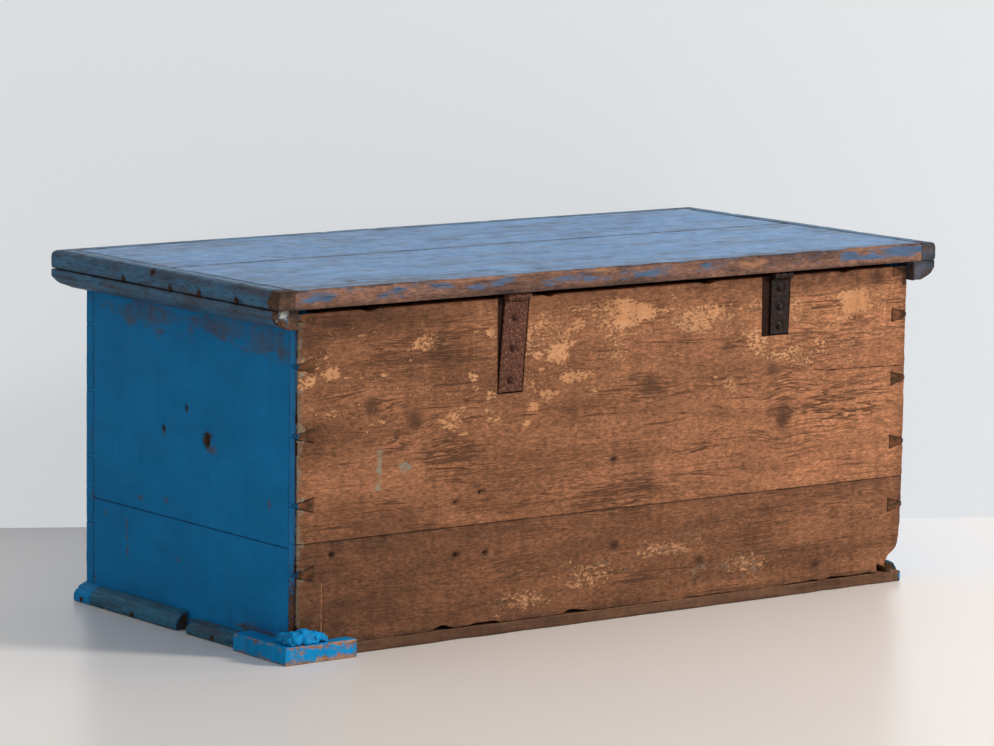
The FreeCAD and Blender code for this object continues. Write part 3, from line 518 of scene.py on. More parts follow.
def grouped(tree, group, **inputs):
    node = put(tree, "Group", inputs, node_tree=group).socket.node
    return {socket.name: Sum(socket) for socket in node.outputs}


def texture(vector, stretch, detail, roughness):
    """Noise with its own stretch for each axis, in lumps per metre."""
    tree = vector.socket.id_data
    vector = put(tree, "VectorMath", {0: vector, 1: stretch}, operation="MULTIPLY")
    return put(tree, "TexNoise", {"Vector": vector, "Scale": 1, "Detail": detail, "Roughness": roughness})


def speckle(vector, stretch, detail=3, roughness=0.55, low=0.3, high=0.7):
    return texture(vector, stretch, detail, roughness).over(low, high)


def threads(vector, stretch, width, detail=2):
    """Thin wandering lines along the level where a noise crosses its middle."""
    away = (texture(vector, stretch, detail, 0.5) - 0.5).by("ABSOLUTE")
    return away.over(width, 0.25 * width)


def pine_group():
    """Pine: broad bands, dark late-wood lines and fine fibre, along the first axis of the grain vector."""
    tree, given, result = group_tree("pine", {"Grain": "Vector", "Ridged": "Float"},
        {"Bands": "Float", "Lines": "Float", "Fibre": "Float"})
    sway = speckle(given["Grain"], (2.2, 9, 9), 1) * 0.016 - 0.008
    shift = put(tree, "CombineXYZ", {"Y": sway, "Z": sway})
    grain = put(tree, "VectorMath", {0: given["Grain"], 1: shift}, operation="ADD")
    where = speckle(given["Grain"], (9, 40, 40), 2, 0.5, 0.46, 0.62)
    fine = threads(grain, (4, 120, 120), 0.03) * where
    ridged = threads(grain, (14, 150, 150), 0.065) * given["Ridged"]
    feed(result, {"Bands": speckle(grain, (5, 24, 24), 4), "Lines": fine.by("MAXIMUM", ridged),
        "Fibre": speckle(grain, (130, 420, 420), 3, 0.75, 0.32, 0.68)})
    return tree


def ragged_group():
    """Turns an amount from 0 to 1 into a mask with torn edges."""
    tree, given, result = group_tree("ragged", {"Vector": "Vector", "Amount": "Float", "Size": "Float",
        "Softness": "Float"}, {"Mask": "Float"})
    vector = put(tree, "VectorMath", {0: given["Vector"], "Scale": given["Size"]}, operation="SCALE")
    soft = given["Softness"] * 2
    low = (1 - given["Amount"]) * (soft + 1) - soft
    feed(result, {"Mask": speckle(vector, (1, 1, 1), 7, 0.74).over(low, low + soft)})
    return tree


def coat_group():
    """Brushed paint or wash: cloudy patches and fine streaks between two shades, along the grain vector, and
    where it is weathered, dashes, dark hair cracks and specks."""
    tree, given, result = group_tree("coat", {"Grain": "Vector", "Colour": "Color", "Shade": "Color",
        "Streaks": "Float", "Weathered": "Float"}, {"Colour": "Color", "Height": "Float"})
    grain, weathered = given["Grain"], given["Weathered"]
    streaks = speckle(grain, (9, 150, 150), 4, 0.7)
    share = tint(given["Streaks"], speckle(grain, (9, 16, 16), 4), streaks)
    share = tint(weathered * 0.42, share, speckle(grain, (60, 130, 130), 3, 0.7, 0.34, 0.66))
    where = speckle(grain, (4, 13, 13), 2, 0.5, 0.45, 0.62)
    cracks = threads(grain, (8, 90, 90), 0.06, 3) * where
    specks = speckle(grain, (38, 130, 130), 3, 0.6, 0.58, 0.68)
    worn = cracks.by("MAXIMUM", specks) * weathered
    plain = tint(share, given["Shade"], given["Colour"])
    deep = tint(1, plain, (0.28, 0.34, 0.38), "MULTIPLY")
    feed(result, {"Colour": tint(worn, plain, deep), "Height": streaks - worn})
    return tree


PINE, RAGGED, COAT = pine_group(), ragged_group(), coat_group()


def ragged(vector, amount, size, softness):
    given = {"Vector": vector, "Amount": amount, "Size": size, "Softness": softness}
    return grouped(vector.socket.id_data, RAGGED, **given)["Mask"]


def blend(one, other, share):
    return tuple(a + (b - a) * share for a, b in zip(one, other))


def timber_finish(name, wood, coat, other_coat=None, stain=BACK_STAIN, fresh=(0.42, 0.17, 0.065),
        rust=(0.12, 0.042, 0.018), streaks=0.35, tear=70, softness=0.06, lines=0.55, coat_roughness=0.5,
        specular=0.3, relief=0.35, contrast=0.5, drawn=1, weathered=0.15, swept=0.1, fresh_soft=0.15):
    """Old timber: pine under what is left of its paint. The marks of the mesh say where: paint for cover,
    tone for pale wood, dark for stains (and for painted shade in the filler's folds), fresh for broken wood,
    the rust mark for rust round nails (and, on the back, for painted near-black shade in deep recesses),
    knot for knots, ridged for hammered grain and other for a second paint. A mesh without a mark has none of
    it."""
    material, tree, shader = new_material(name)
    labels = "paint", "tone", "dark", "fresh", "rust", "knot", "ridged", "other"
    mark = {label: put(tree, "Attribute", out="Fac", attribute_name=label) for label in labels}
    grain = put(tree, "Attribute", out="Vector", attribute_name="grain")
    place = put(tree, "TexCoord", out="Object")
    pine = grouped(tree, PINE, Grain=grain, Ridged=mark["ridged"])
    body = tint(mark["tone"].by("ADD", pine["Bands"] * 0.55 - 0.27, clamp=True), *wood)
    grime = speckle(place, (90, 170, 170), 4, 0.65) * (0.6 * contrast) + (1 - 0.3 * contrast)
    fibre = pine["Fibre"] * contrast + (1 - 0.5 * contrast)
    body = tint(1, body, fibre * grime, "MULTIPLY")
    body = tint(pine["Lines"] * lines, body, blend(wood[0], stain, 0.35))
    rings = (mark["knot"] * 26).by("SINE")
    knot = mark["knot"].by("MULTIPLY", rings * 0.2 + 1.1, clamp=True)
    body = tint(knot * 0.85, body, blend(wood[0], stain, 0.5))
    holes = speckle(place, (260, 420, 420), 3, 0.65, 0.63, 0.74)
    body = tint(holes * 0.7, body, stain)
    body = tint(ragged(place, mark["fresh"], 90, fresh_soft), body, fresh)
    clouds = speckle(place, (38, 38, 38), 5, 0.65)
    soak = mark["dark"].by("MULTIPLY", clouds * 0.9 + 0.35, clamp=True)
    body = tint(soak, body, stain)
    if other_coat:
        coat = [tint(mark["other"], one, other) for one, other in zip(coat, other_coat)]
    brushed = grouped(tree, COAT, Grain=grain, Colour=coat[0], Shade=coat[1], Streaks=streaks,
        Weathered=weathered)
    pulled = put(tree, "VectorMath", {0: grain, 1: (drawn, 1, 1)}, operation="MULTIPLY")
    cover = ragged(pulled, mark["paint"], tear, softness)
    body = tint(cover, body, tint(soak * 0.8, brushed["Colour"], stain))
    # On the back the rust mark paints near-black shade on the floors of deep recesses; elsewhere it is rust
    # round nails.
    halo = ragged(place, mark["rust"], 170, 0.35)
    body = tint(halo, body, rust)
    strokes = speckle(place, (75, 75, 4)) * (2 * swept) + (1 - swept)
    shine = (cover * (1 - halo)).over(to=(0.82, coat_roughness)) + (clouds * 0.14 - 0.07)
    height = (pine["Fibre"] * 0.4 - pine["Lines"] - holes) * (1 - cover * 0.75)
    height = height + cover * 0.9 + brushed["Height"] * (cover * 0.3)
    bump = put(tree, "Bump", {"Height": height, "Strength": relief, "Distance": 0.0006})
    feed(shader, {"Base Color": tint(1, body, strokes, "MULTIPLY"), "Roughness": shine,
        "Specular IOR Level": specular, "Normal": bump})
    return material


def knotted(across, along, knots):
    """Moves the grain lines round knots, and says where the knots are."""
    moved, heart = across.copy(), np.zeros(len(across))
    for u, v, half_u, half_v in knots:
        off = across - v
        moved -= 0.36 * off * np.exp(-((along - u) / (2.6 * half_u)) ** 2 - (off / (2.4 * half_v)) ** 2)
        heart = np.maximum(heart, unit(1.25 - np.hypot((along - u) / half_u, off / half_v)))
    return moved, heart


# The back's rust colour is a near-black brown: on this piece it paints the shade on the floors of its deep
# recesses.
back_finish = timber_finish("bare_back_pine", BACK_WOOD, (BACK_OCHRE, (0.5, 0.22, 0.095)), WALL_COAT,
    tear=260, softness=0.08, lines=1, specular=0.12, relief=1, contrast=0.95, drawn=0.6, swept=0.08,
    weathered=0, fresh=(0.3, 0.265, 0.195), fresh_soft=0.3, rust=(0.028, 0.011, 0.007))


def back_wear(points, distance):
    hammered = spots(points[:, 0], points[:, 1], BACK_HAMMERED)
    bruises = 2.4 * unit(noise(points, (34, 22, 1), 9) - 0.62)
    holes = pits(points, [(u, v, r, 0.6 * r, depth) for u, v, r, depth in BACK_HOLES], 1.2)
    waves = swell(points, 0.45, (210, 120, 1), 5) + swell(points, 0.12, (38, 5, 1), 6)
    return waves + hammered * swell(points, 0.22, (30, 4.2, 1), 8) + holes + bruises


def back_rounding(points):
    x = points[:, 0]
    end = np.where(x > 0, 4.2, 2.2) + 1.4 * rough(points, (14, 14, 1), 11)
    plain = 0.9 + 0.5 * noise(points, (60, 60, 1), 12)
    return np.clip(np.where(np.abs(x) > HALF_LENGTH - 8, end, plain), 0.3, 6)


def bottom_bites(x, depth):
    """Chips out of a bottom edge that has stood on damp floors: how far up they go."""
    line = np.stack((x, 0 * x, 0 * x), 1)
    return depth * (0.25 * (1 + rough(line, 30, 13)) + 2.4 * lumps(line, 75, 15, 0.45))


def back_fray(points):
    """Bites below, chips at the lid, and a corner by the left end that broke away above the floor boards."""
    moved = points.copy()
    x, z = points.T
    end = np.interp(z, *CHEWED) + 0.8 * noise(flat3(points), 5, 16) * (z < 70)
    share = unit((-470 - x) / 78) * unit((150 - z) / 50)
    moved[:, 0] += share * (end + HALF_LENGTH).clip(0)
    moved[:, 1] += bottom_bites(x, 3) * unit(1 - (z - FLOOR_TOP) / 3)
    for middle, reach, notch in BACK_NOTCHES:
        moved[:, 1] -= (z > BACK_TOP - 2) * notch * unit(1.3 - np.abs(x - middle) / reach)
    moved[:, 0] -= np.sign(x) * swell(flat3(points), 0.3, 9, 14) * (np.abs(x) > HALF_LENGTH - 2)
    return moved


def back_marks(xyz, zone, edge):
    x, y, z = xyz.T
    moved, heart = knotted(z, x, BACK_KNOTS)
    face, inside, lower = zone == 0, zone == 2, z < JOINT_LEVEL + 0.2
    at_end = (zone == 1) & (np.abs(x) > HALF_LENGTH - 2)
    flakes = spots(x, z, BACK_FLAKES, 21, 0.5)
    haze = (0.22 + 0.36 * lumps(xyz, (55, 1, 24), 22)) * unit((BACK_TOP - 6 - z) / 15)
    haze = haze * np.clip((z - 200) / 160, 0.35, 1)
    paint = face * np.maximum(0.58 * flakes + 0.1 * (flakes > 0) * rough(xyz, (9, 1, 5), 29), haze)
    scuffs = face * lower * spots(x, z, BACK_SCUFFS, 23, 0.5)
    paint = np.where(face & lower, 0.11 + 0.36 * scuffs, paint)
    smear = face * spots(x, z, GREEN_SMEARS, 30, 0.5)
    scratch = face & (np.abs(x - SCRATCH_X) < 0.5) & (z > SCRATCH_FOOT) & (z < SCRATCH_TOP)
    paint = np.where(scratch, 1, paint)
    dust = lower * face * (0.15 + 0.1 * lumps(xyz, (60, 1, 20), 32))
    fleck = face & (x > HALF_LENGTH - 13) & (edge < 9)
    pale = np.maximum(np.where(fleck, 0.66 - 0.05 * edge, dust + 0.1 * scuffs), 0.66 * smear)
    worn = np.clip((z - 20) / 150, 0.35, 1)
    paint = np.where(at_end, 0.93 * worn, paint)
    tone = 0.54 - 0.3 * x / HALF_LENGTH + 0.16 * noise(xyz, (170, 1, 60), 24) + 0.18 * spots(x, z, BACK_PALE)
    tone = np.where(lower, 0.27 - 0.14 * x / HALF_LENGTH + 0.16 * noise(xyz, (120, 1, 30), 25), tone)
    dark = 0.38 * spots(x, z, BACK_STAINS, 26, 0.4) + 0.18 * unit(noise(xyz, (16, 1, 90), 27))
    dark += 0.42 * unit((z + 32 - BACK_TOP) / 30) + 0.45 * unit((20 - x - HALF_LENGTH) / 16)
    dark += 0.55 * unit(1.4 - np.abs(z - JOINT_LEVEL) / 1.2)
    dark += lower * (0.16 + 0.26 * unit(x / HALF_LENGTH) + 0.55 * unit(1 - (z - FLOOR_TOP) / 12))
    near_hole = [(u, v, 1.6 * r, 1.1 * r) for u, v, r, _ in BACK_HOLES]
    dark = np.maximum(dark, 0.95 * spots(x, z, near_hole))
    joint = unit(1.3 - np.abs(y - 263.5) / 1.8) * (x > 0)
    dark = np.where(at_end, 0.25 * (1.2 - worn) + 0.95 * joint, dark)
    # On the back the rust mark is painted shade: it turns the face near-black wherever it is sunk more than
    # 2.8 mm, on the floors of the hinge housings and in the deepest holes.
    return dict(grain=np.stack((x, moved, y + 40 * lower), 1), paint=paint,
        tone=np.where(inside, 0.95, tone), dark=np.where(inside, 0.05, dark), fresh=pale,
        rust=face & (y < BACK_PLANE - 2.8), knot=heart * face, other=at_end,
        ridged=face * unit(0.06 + spots(x, z, BACK_HAMMERED, 28, 0.3)))


housings = [(loop + HOUSING_GROWTH, HOUSING_DEPTH)
    for loop in outlines("back_board_upper", 1, HOUSING_LEVEL)]
scratch = [(SCRATCH_X, SCRATCH_FOOT), (SCRATCH_X, SCRATCH_TOP)], 1.2, 0.3
for node, cuts, pockets in (("back_board_upper", BACK_CRACKS, housings),
        ("back_board_lower", (scratch,), ())):
    worn_board(node, "xzy", 1, (back_finish, "bare_pine", "case"), back_marks, back_wear, back_rounding,
        back_fray, cuts, pockets, prism=True, row=2.5)

# The front: two boards like those of the back, painted blue outside and left bare inside. The ends have the
# same finish, and the pins between their tails show at the back.
PIN_LEVELS, PIN_HALF, PIN_SPREAD, PIN_LENGTH = (118, 213.3, 308.7, 404), 3, 7.5, 28
wall_look = timber_finish("blue_wall_paint", ((0.1, 0.064, 0.034), (0.17, 0.115, 0.064)), WALL_COAT, tear=48,
    softness=0.5, specular=0.05, relief=0.2, streaks=0.12, lines=0.4, stain=(0.016, 0.01, 0.008), swept=0.03,
    weathered=0.1, fresh=(0.26, 0.105, 0.052), fresh_soft=0.2), "blue_wall_paint", "case"


def panel_wear(points, distance):
    return swell(points, 0.3, (230, 110, 1), 31) + swell(points, 0.06, (60, 7, 1), 32)


def panel_rounding(points):
    return np.clip(1 + 0.6 * rough(points, (16, 16, 1), 33), 0.3, 4)


def panel_marks(xyz, zone, edge, along=0, rubs=(), dirt=(), seed=34):
    """Marks of a painted wall: worn through at its arrises and rubs, and bare inside."""
    place, z = xyz[:, along], xyz[:, 2]
    inside = zone == 2
    paint = 0.985 - 0.5 * spots(place, z, rubs, seed, 0.5) - 0.3 * unit(1 - edge / 2.5)
    dark = 0.4 * spots(place, z, dirt, seed + 2, 0.6) + 0.1 * unit(noise(xyz, (9, 9, 120), seed + 3))
    return dict(grain=np.stack((place, z, xyz[:, 1 - along]), 1), fresh=0 * z,
        paint=np.where(zone == 0, paint, np.where(inside, 0, 0.8)),
        tone=np.where(inside, 0.85, 0.35) + 0.1 * noise(xyz, 90, seed + 1),
        dark=unit(np.where(inside, 0.05, dark + 0.45 * unit(1 - edge / 1.6))))


def front_fray(points):
    moved = points.copy()
    moved[:, 1] += bottom_bites(points[:, 0] + 3000, 2) * unit(1 - (points[:, 1] - FLOOR_TOP) / 3)
    return moved


for half in ("upper", "lower"):
    worn_board("front_board_" + half, "xzy", -1, wall_look, panel_marks, panel_wear, panel_rounding,
        front_fray, cell=6, prism=True)

# The ends: thicker boards, two to an end, that carry the pins. Smooth blue paint over planed pine, with old
# nail holes, rubs under the lid's moulding and dirt near the floor. The pins' ends show bare at the back.
END_HOLES = ((-65, 278, 4, 4, 3), (-6, 314, 3.5, 5, 3), (45, 273, 7, 8, 6))
END_RUBS = ((73, 438, 90, 20, 0.95), (190, 428, 66, 22, 0.9), (-113, 434, 100, 20, 0.85), (-162, 120, 3, 16),
    (-159, 88, 3, 14), (-216, 135, 8, 6), (-124, 170, 5, 5), (-57, 176, 5, 6), (202, 212, 4, 9),
    (-252, 31, 8, 28), (182, 27, 52, 6), (-25, 95, 3, 3), (53, 262, 7, 7), (-65, 272, 6, 7))
END_DIRT = ((182, 29, 70, 10, 0.9), (-262, 60, 6, 60, 0.6), (150, 40, 90, 30, 0.3), (262, 120, 9, 60, 0.6),
    (-70, 108, 8, 8, 0.5), (230, 200, 6, 30, 0.4))
END_CRACKS = (([(-125, 217), (-124, 232), (-125, 246)], 1.2, 2), ([(-118, 238), (-118, 252)], 0.9, 0.8))


def end_wear(points, distance):
    return panel_wear(points, distance) + pits(points, END_HOLES)


def chewed_end_wear(points, distance):
    """The left end's lowest pin has broken away with the corner of the back."""
    broken = unit((points[:, 0] - 236) / 22) * np.interp(points[:, 1], (16, 30, 41, 58), (24, 24, 20, 0))
    return panel_wear(points, distance) + broken * (0.9 + 0.1 * noise(points, 6, 36))


def pins_marks(marks, xyz, zone):
    """The pins' ends show at the back: bare, dirty end grain."""
    x, y, z = xyz.T
    pins = (zone == 1) & (y > BACK_PLANE - 2)
    off = np.min([np.abs(z - pin) for pin in PIN_LEVELS], 0) - PIN_HALF
    rim = off / (PIN_SPREAD * (HALF_LENGTH - np.abs(x)) / PIN_LENGTH + 0.01)
    dirt = 0.56 + 0.35 * rough(xyz, (12, 12, 8), 43) + 0.6 * unit(4 * rim - 3) * (z < 420)
    dark = np.where((zone == 0) & (y > BACK_PLANE - 12), 0.75, marks["dark"])
    fresh = np.where(pins, 0.62 + 0.5 * rough(xyz, (7, 7, 3), 44), marks["fresh"])
    return dict(marks, paint=marks["paint"] * ~pins, tone=marks["tone"] * ~pins,
        dark=np.where(pins, dirt, dark), fresh=fresh)


def right_end_marks(xyz, zone, edge):
    marks = panel_marks(xyz, zone, edge, 1, END_RUBS, END_DIRT, 41)
    holes = spots(xyz[:, 1], xyz[:, 2], [(u, v, 1.15 * a, 1.15 * b) for u, v, a, b, _ in END_HOLES], 42, 0.4)
    holes = holes * (zone == 0)
    marks["dark"] = np.maximum(marks["dark"], holes)
    marks["paint"] = np.where(holes > 0.5, 0.2, marks["paint"])
    return pins_marks(marks, xyz, zone)


def left_end_marks(xyz, zone, edge):
    marks = pins_marks(panel_marks(xyz, zone, edge, 1, (), (), 45), xyz, zone)
    broken = (xyz[:, 1] > 240) & (xyz[:, 2] < 56) & (zone < 2)
    return dict(marks, paint=np.where(broken, 0.1, marks["paint"]),
        fresh=np.where(broken, 0.45, marks["fresh"]))


for half, cuts, left_wear in (("upper", END_CRACKS, panel_wear), ("lower", (), chewed_end_wear)):
    worn_board("right_end_" + half, "yzx", 1, wall_look, right_end_marks, end_wear, panel_rounding,
        cuts=cuts, row=4)
    worn_board("left_end_" + half, "yzx", -1, wall_look, left_end_marks, left_wear, panel_rounding, cell=5)

# The floor: three pine boards nailed on from below. Their ends and the rear one's edge show under the walls,
# dirty, chipped and never painted.
floor_look = timber_finish("floor_pine", ((0.085, 0.038, 0.022), (0.26, 0.135, 0.075)), WALL_COAT,
    specular=0.15, relief=0.6), "bare_pine", "case"


def floor_marks(xyz, zone, edge):
    x, _, z = xyz.T
    top, outside = zone == 0, zone == 1
    dirt, broken = lumps(xyz, (60, 60, 10), 52) + unit(1 - z / 5), lumps(xyz, (45, 45, 12), 53, 0.2)
    return dict(grain=xyz, paint=outside * (np.abs(x) > HALF_LENGTH - 1) * 0.6,
        tone=np.where(top, 0.75, 0.42) + 0.18 * noise(xyz, (70, 70, 9), 51),
        dark=np.where(top, 0.05, 0.3) + outside * 0.4 * dirt, fresh=outside * 0.35 * broken)


def floor_fray(points):
    x, y = points.T
    return np.stack((x, y - bottom_bites(x + 700, 1.6) * np.sign(y) * (np.abs(y) > BACK_PLANE - 1)), 1)


def floor_wear(points, distance):
    return swell(points, 0.25, (150, 60, 1), 54) * (distance > 1)


for place in ("front", "middle", "rear"):
    worn_board("floor_board_" + place, "xyz", 1, floor_look, floor_marks, floor_wear, lambda points: 0.5,
        floor_fray, cell=6, prism=True, low_round=1.6, row=3)

# The base moulding: a pine skirting with a rounded nose, nailed on, in paint worn dull and brown. Its corner
# on the right end is as bright as the block, and a gap divides the two lengths behind it.
BASE_SECTION = ((0, 0, 0), (22, 0, 3), (22, 12, 8), (15, 22, 9), (4, 27, 5), (0, 27, 0.6))
BASE_WIDTH, BASE_RISE = 22, 27


def section_ring(corners, spacing):
    """Points round a section, its corners rounded, with how near each is to an outward corner."""
    points, rounded = [], []
    for k, (x, y, radius) in enumerate(corners):
        here = np.array((x, y), float)
        beside = corners[k - 1], corners[(k + 1) % len(corners)]
        back, on = (np.array(corner[:2]) - here for corner in beside)
        back_size, on_size = np.linalg.norm(back), np.linalg.norm(on)
        half = 0.5 * math.acos(float(np.clip(back / back_size @ on / on_size, -1, 1)))
        reach = min(radius / math.tan(half), 0.45 * back_size, 0.45 * on_size)
        bends = max(2, math.ceil(reach * (math.pi - 2 * half) / spacing) + 1) if reach > 0 else 1
        for share in np.linspace(0, 1, bends):
            points.append(here + ((1 - share) ** 2 * back / back_size + share ** 2 * on / on_size) * reach)
            rounded.append(float(reach > 0.1 and x + y > 0))
    ring, exposed = [], []
    for k, point in enumerate(points):
        following, next_rounded = points[(k + 1) % len(points)], rounded[(k + 1) % len(points)]
        length = np.linalg.norm(following - point)
        steps = max(1, math.ceil(length / spacing))
        for share in np.arange(steps) / steps:
            ring.append(point + (following - point) * share)
            tip = max(rounded[k] if share < 0.5 else next_rounded, rounded[k] * next_rounded)
            exposed.append(tip * math.exp(-min(share, 1 - share) * length / 2.5))
    return np.array(ring), np.array(exposed)


def worn_moulding(node, section, origin, run, out, span, mitres, look, marks, wear, end_round=1.2,
        spacing=2.2, step=3.5):
    """A length of moulding with a worn surface. Origin, run and out are its inner foot, its way along
    and its way out; span is where it starts and stops, mitres how far each end moves for a step out."""
    ring, exposed = section_ring(section, spacing)
    count, length = len(ring), span[1] - span[0]
    close = np.array((0.3, 0.9, 1.8)) / length
    shares = np.unique([*np.linspace(0, 1, max(4, math.ceil(length / step)) + 1), *close, *(1 - close)])
    stations = len(shares)
    origin, run, out = (np.array(v, float) for v in (origin, run, out))
    tiled, exposure = np.tile(ring, (stations, 1)), np.tile(exposed, stations)
    share, girth = np.repeat(shares, count), np.tile(np.arange(count) * spacing, stations)
    first, last = (span[k] + mitres[k] * tiled[:, 0] for k in (0, 1))
    along = first + (last - first) * share
    place = np.stack((along, girth, 0 * along), 1)
    sunk = drop(np.minimum(share, 1 - share) * length, end_round) + wear(place, tiled, exposure)
    worn = tiled + np.tile(inward_normals(ring), (stations, 1)) * sunk[:, None]

    def spread(along, section):
        return origin + along[:, None] * run + section[:, :1] * out + section[:, 1:] * (0, 0, 1)
    layers = [(spread(along, worn), along, girth, exposure, 0)]
    faces, total = [], len(along)
    for k in range(stations - 1):
        faces += quads(k * count + np.arange(count), (k + 1) * count + np.arange(count))
    for end, station in ((0, 0), (1, stations - 1)):
        rim = worn[station * count:(station + 1) * count]
        inner = grid_points((0.5, 0.5), ring.max(0), 2.6)
        inner = inner[within(inner, rim)]
        inner = inner[edge_distance(inner, rim) > 1.2]
        flat, cap, order = triangles(np.concatenate((rim, inner)), count)
        number = np.full(len(flat), -1)
        number[order] = station * count + np.arange(count)
        new = number < 0
        number[new] = total + np.arange(new.sum())
        points = flat[new]
        sink = swell(flat3(points), 0.5, (3, 9, 1), 61 + end)
        along = span[end] + mitres[end] * points[:, 0] + (1 - 2 * end) * sink
        faces += number[np.array(cap)].tolist()
        layers.append((spread(along, points), along, points[:, 0], 0.5, 1))
        total += len(points)
    xyz, along, girth, exposure, ends = joined(layers)
    grain = np.stack((along, girth, xyz[:, 2]), 1)
    timber_piece(node, xyz, faces, look, dict(marks(xyz, exposure, ends), grain=grain))


base_look = timber_finish("worn_base_paint", ((0.04, 0.03, 0.026), (0.14, 0.085, 0.055)),
    ((0.024, 0.205, 0.35), (0.022, 0.128, 0.205)), tear=60, softness=0.6, specular=0.12, relief=0.7,
    contrast=0.9, weathered=0.8, swept=0, streaks=0.15, drawn=0.5), "worn_base_paint", "case"
block_finish = timber_finish("bright_block_paint", ((0.16, 0.085, 0.05), (0.42, 0.2, 0.1)),
    ((0.004, 0.345, 0.79), (0.005, 0.25, 0.56)), tear=210, softness=0.16, coat_roughness=0.55, specular=0.06,
    relief=0.6, fresh=(0.48, 0.31, 0.21), contrast=0.9, weathered=0.3)
block_look = block_finish, "bright_block_paint", "case"


def base_wear(place, ring, exposed):
    knocks = 4 * lumps(place, (34, 14, 1), 64, 0.45) * (0.3 + exposed)
    waves = swell(place, 0.35, (90, 30, 1), 62) + swell(place, 0.15, (17, 6, 1), 63)
    return (waves + knocks) * (ring[:, 0] > 0.4)


def base_marks(cover, nose, gloom=0, brown=0):
    """Marks of a base moulding: how much paint it keeps, how worn its nose is, how dirty and brown."""
    def marks(xyz, exposed, ends):
        paint = cover - nose * exposed + 0.16 * rough(xyz, (70, 70, 20), 65)
        # Darker along its lowest 4 mm, where it meets the floor.
        foot_darkening = 0.4 * unit(1 - xyz[:, 2] / 4)
        dark = 0.12 + gloom + 0.35 * lumps(xyz, (50, 50, 12), 66) + foot_darkening + 0.45 * ends
        return dict(paint=np.where(ends > 0, 0.25 * cover, paint), dark=dark, fresh=0.3 * brown * exposed,
            tone=0.35 + brown + 0.2 * noise(xyz, (40, 40, 9), 67))
    return marks


for side, look, out, marks in (("front", base_look, (0, -1, 0), base_marks(0.9, 0.15)),
        ("left", base_look, (-1, 0, 0), base_marks(0.88, 0.2, 0.1)),
        ("right_corner", block_look, (1, 0, 0), base_marks(0.97, 0.15)),
        ("right_front", base_look, (1, 0, 0), base_marks(0.88, 0.15, 0.05)),
        ("right_rear", base_look, (1, 0, 0), base_marks(0.78, 0.2, 0.12, 0.1))):
    low, high = (np.array(corner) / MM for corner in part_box("base_moulding_" + side))
    across = 1 if side == "front" else 0
    size = high - low
    section = [(x * size[across] / BASE_WIDTH, z * size[2] / BASE_RISE, radius)
        for x, z, radius in BASE_SECTION]
    origin, run = np.zeros(3), np.zeros(3)
    origin[across] = (low if sum(out) > 0 else high)[across]
    run[1 - across] = 1
    worn_moulding("base_moulding_" + side, section, origin, run, out, (low[1 - across], high[1 - across]),
        (0, 0), look, marks, base_wear)


# The corner block: a later pine block in two legs round the rear right corner, in fresher and brighter paint
# that has chipped off its sawn edges.
def block_marks(xyz, zone, edge):
    _, y, z = xyz.T
    top, side, worn = zone == 0, zone == 1, unit(1 - edge / 4.5)
    paint = top * (0.9 - 0.38 * worn) + 0.16 * rough(xyz, 12, 71)
    sides = 0.92 - 0.5 * unit(np.abs(z - 13) / 13) ** 2 - 0.22 * (y > 290)
    sides += 0.22 * rough(xyz, (12, 12, 5), 72)
    return dict(grain=xyz, paint=np.where(side, sides, paint), tone=0.7 + 0.2 * noise(xyz, 15, 73),
        dark=0.25 * lumps(xyz, 16, 74) + 0.5 * unit(1 - z / 3), fresh=0.5 * worn + 0.3 * side)


def block_fray(points):
    flat, (x, y) = flat3(points), points.T
    bite = 0.8 + 0.5 * rough(flat, 15, 75) + 2.2 * lumps(flat, 11, 76, 0.5)
    return points + inward_normals(points) * (bite * ((x > HALF_LENGTH + 1) | (y > BACK_PLANE + 1)))[:, None]


def block_wear(points, distance):
    return 0.35 * (1 + rough(points, 26, 77))


def block_rounding(points):
    return np.clip(1.4 + 1.2 * rough(points, 12, 78), 0.4, 4)


worn_board("corner_block", "xyz", 1, block_look, block_marks, block_wear, block_rounding, block_fray,
    cell=2.5, prism=True, low_round=1, row=3)

# The filler: lumps of putty that were pressed by hand over the block and round the corner. They dried
# hard, in folds, and have the block's bright paint.
FILLER_VOXEL = 1.1


def remeshed(node, voxel):
    """A CAD piece's own shape in small even faces, as points in millimetres, faces and outward normals."""
    shape, mesh = cad_shape(node), bpy.data.meshes.new("copy")
    shape.to_mesh(mesh)
    shape.free()
    copy = new_object("copy", mesh)
    even = copy.modifiers.new("even", "REMESH")
    even.mode = "VOXEL"
    even.voxel_size = voxel * MM
    mesh = bpy.data.meshes.new_from_object(copy.evaluated_get(bpy.context.evaluated_depsgraph_get()))
    points, normals = (np.array([getattr(v, part)[:] for v in mesh.vertices]) for part in ("co", "normal"))
    bpy.data.objects.remove(copy)
    return points / MM, [tuple(p.vertices) for p in mesh.polygons], normals


filler, filler_faces, filler_normals = remeshed("corner_filler", FILLER_VOXEL)
filler_folds = unit(1 - 2.6 * np.abs(rough(filler, 13, 81)))
filler_sunk = 2.2 * filler_folds + swell(filler, 1, 17, 85) + swell(filler, 0.3, 3, 82)
filler = filler - filler_normals * filler_sunk[:, None]
# Its dark mark is partly painted shade: the folds are darkened as creases where shade falls, over darker
# patches at random.
filler_marks = dict(grain=filler, paint=0.97 + 0.15 * rough(filler, 8, 83), tone=0.5,
    dark=0.35 * lumps(filler, 7, 84, 0.1) + 0.5 * filler_folds ** 2)
timber_piece("corner_filler", filler, filler_faces, (block_finish, "blue_filler", "case"), filler_marks,
    "lumps", 80)
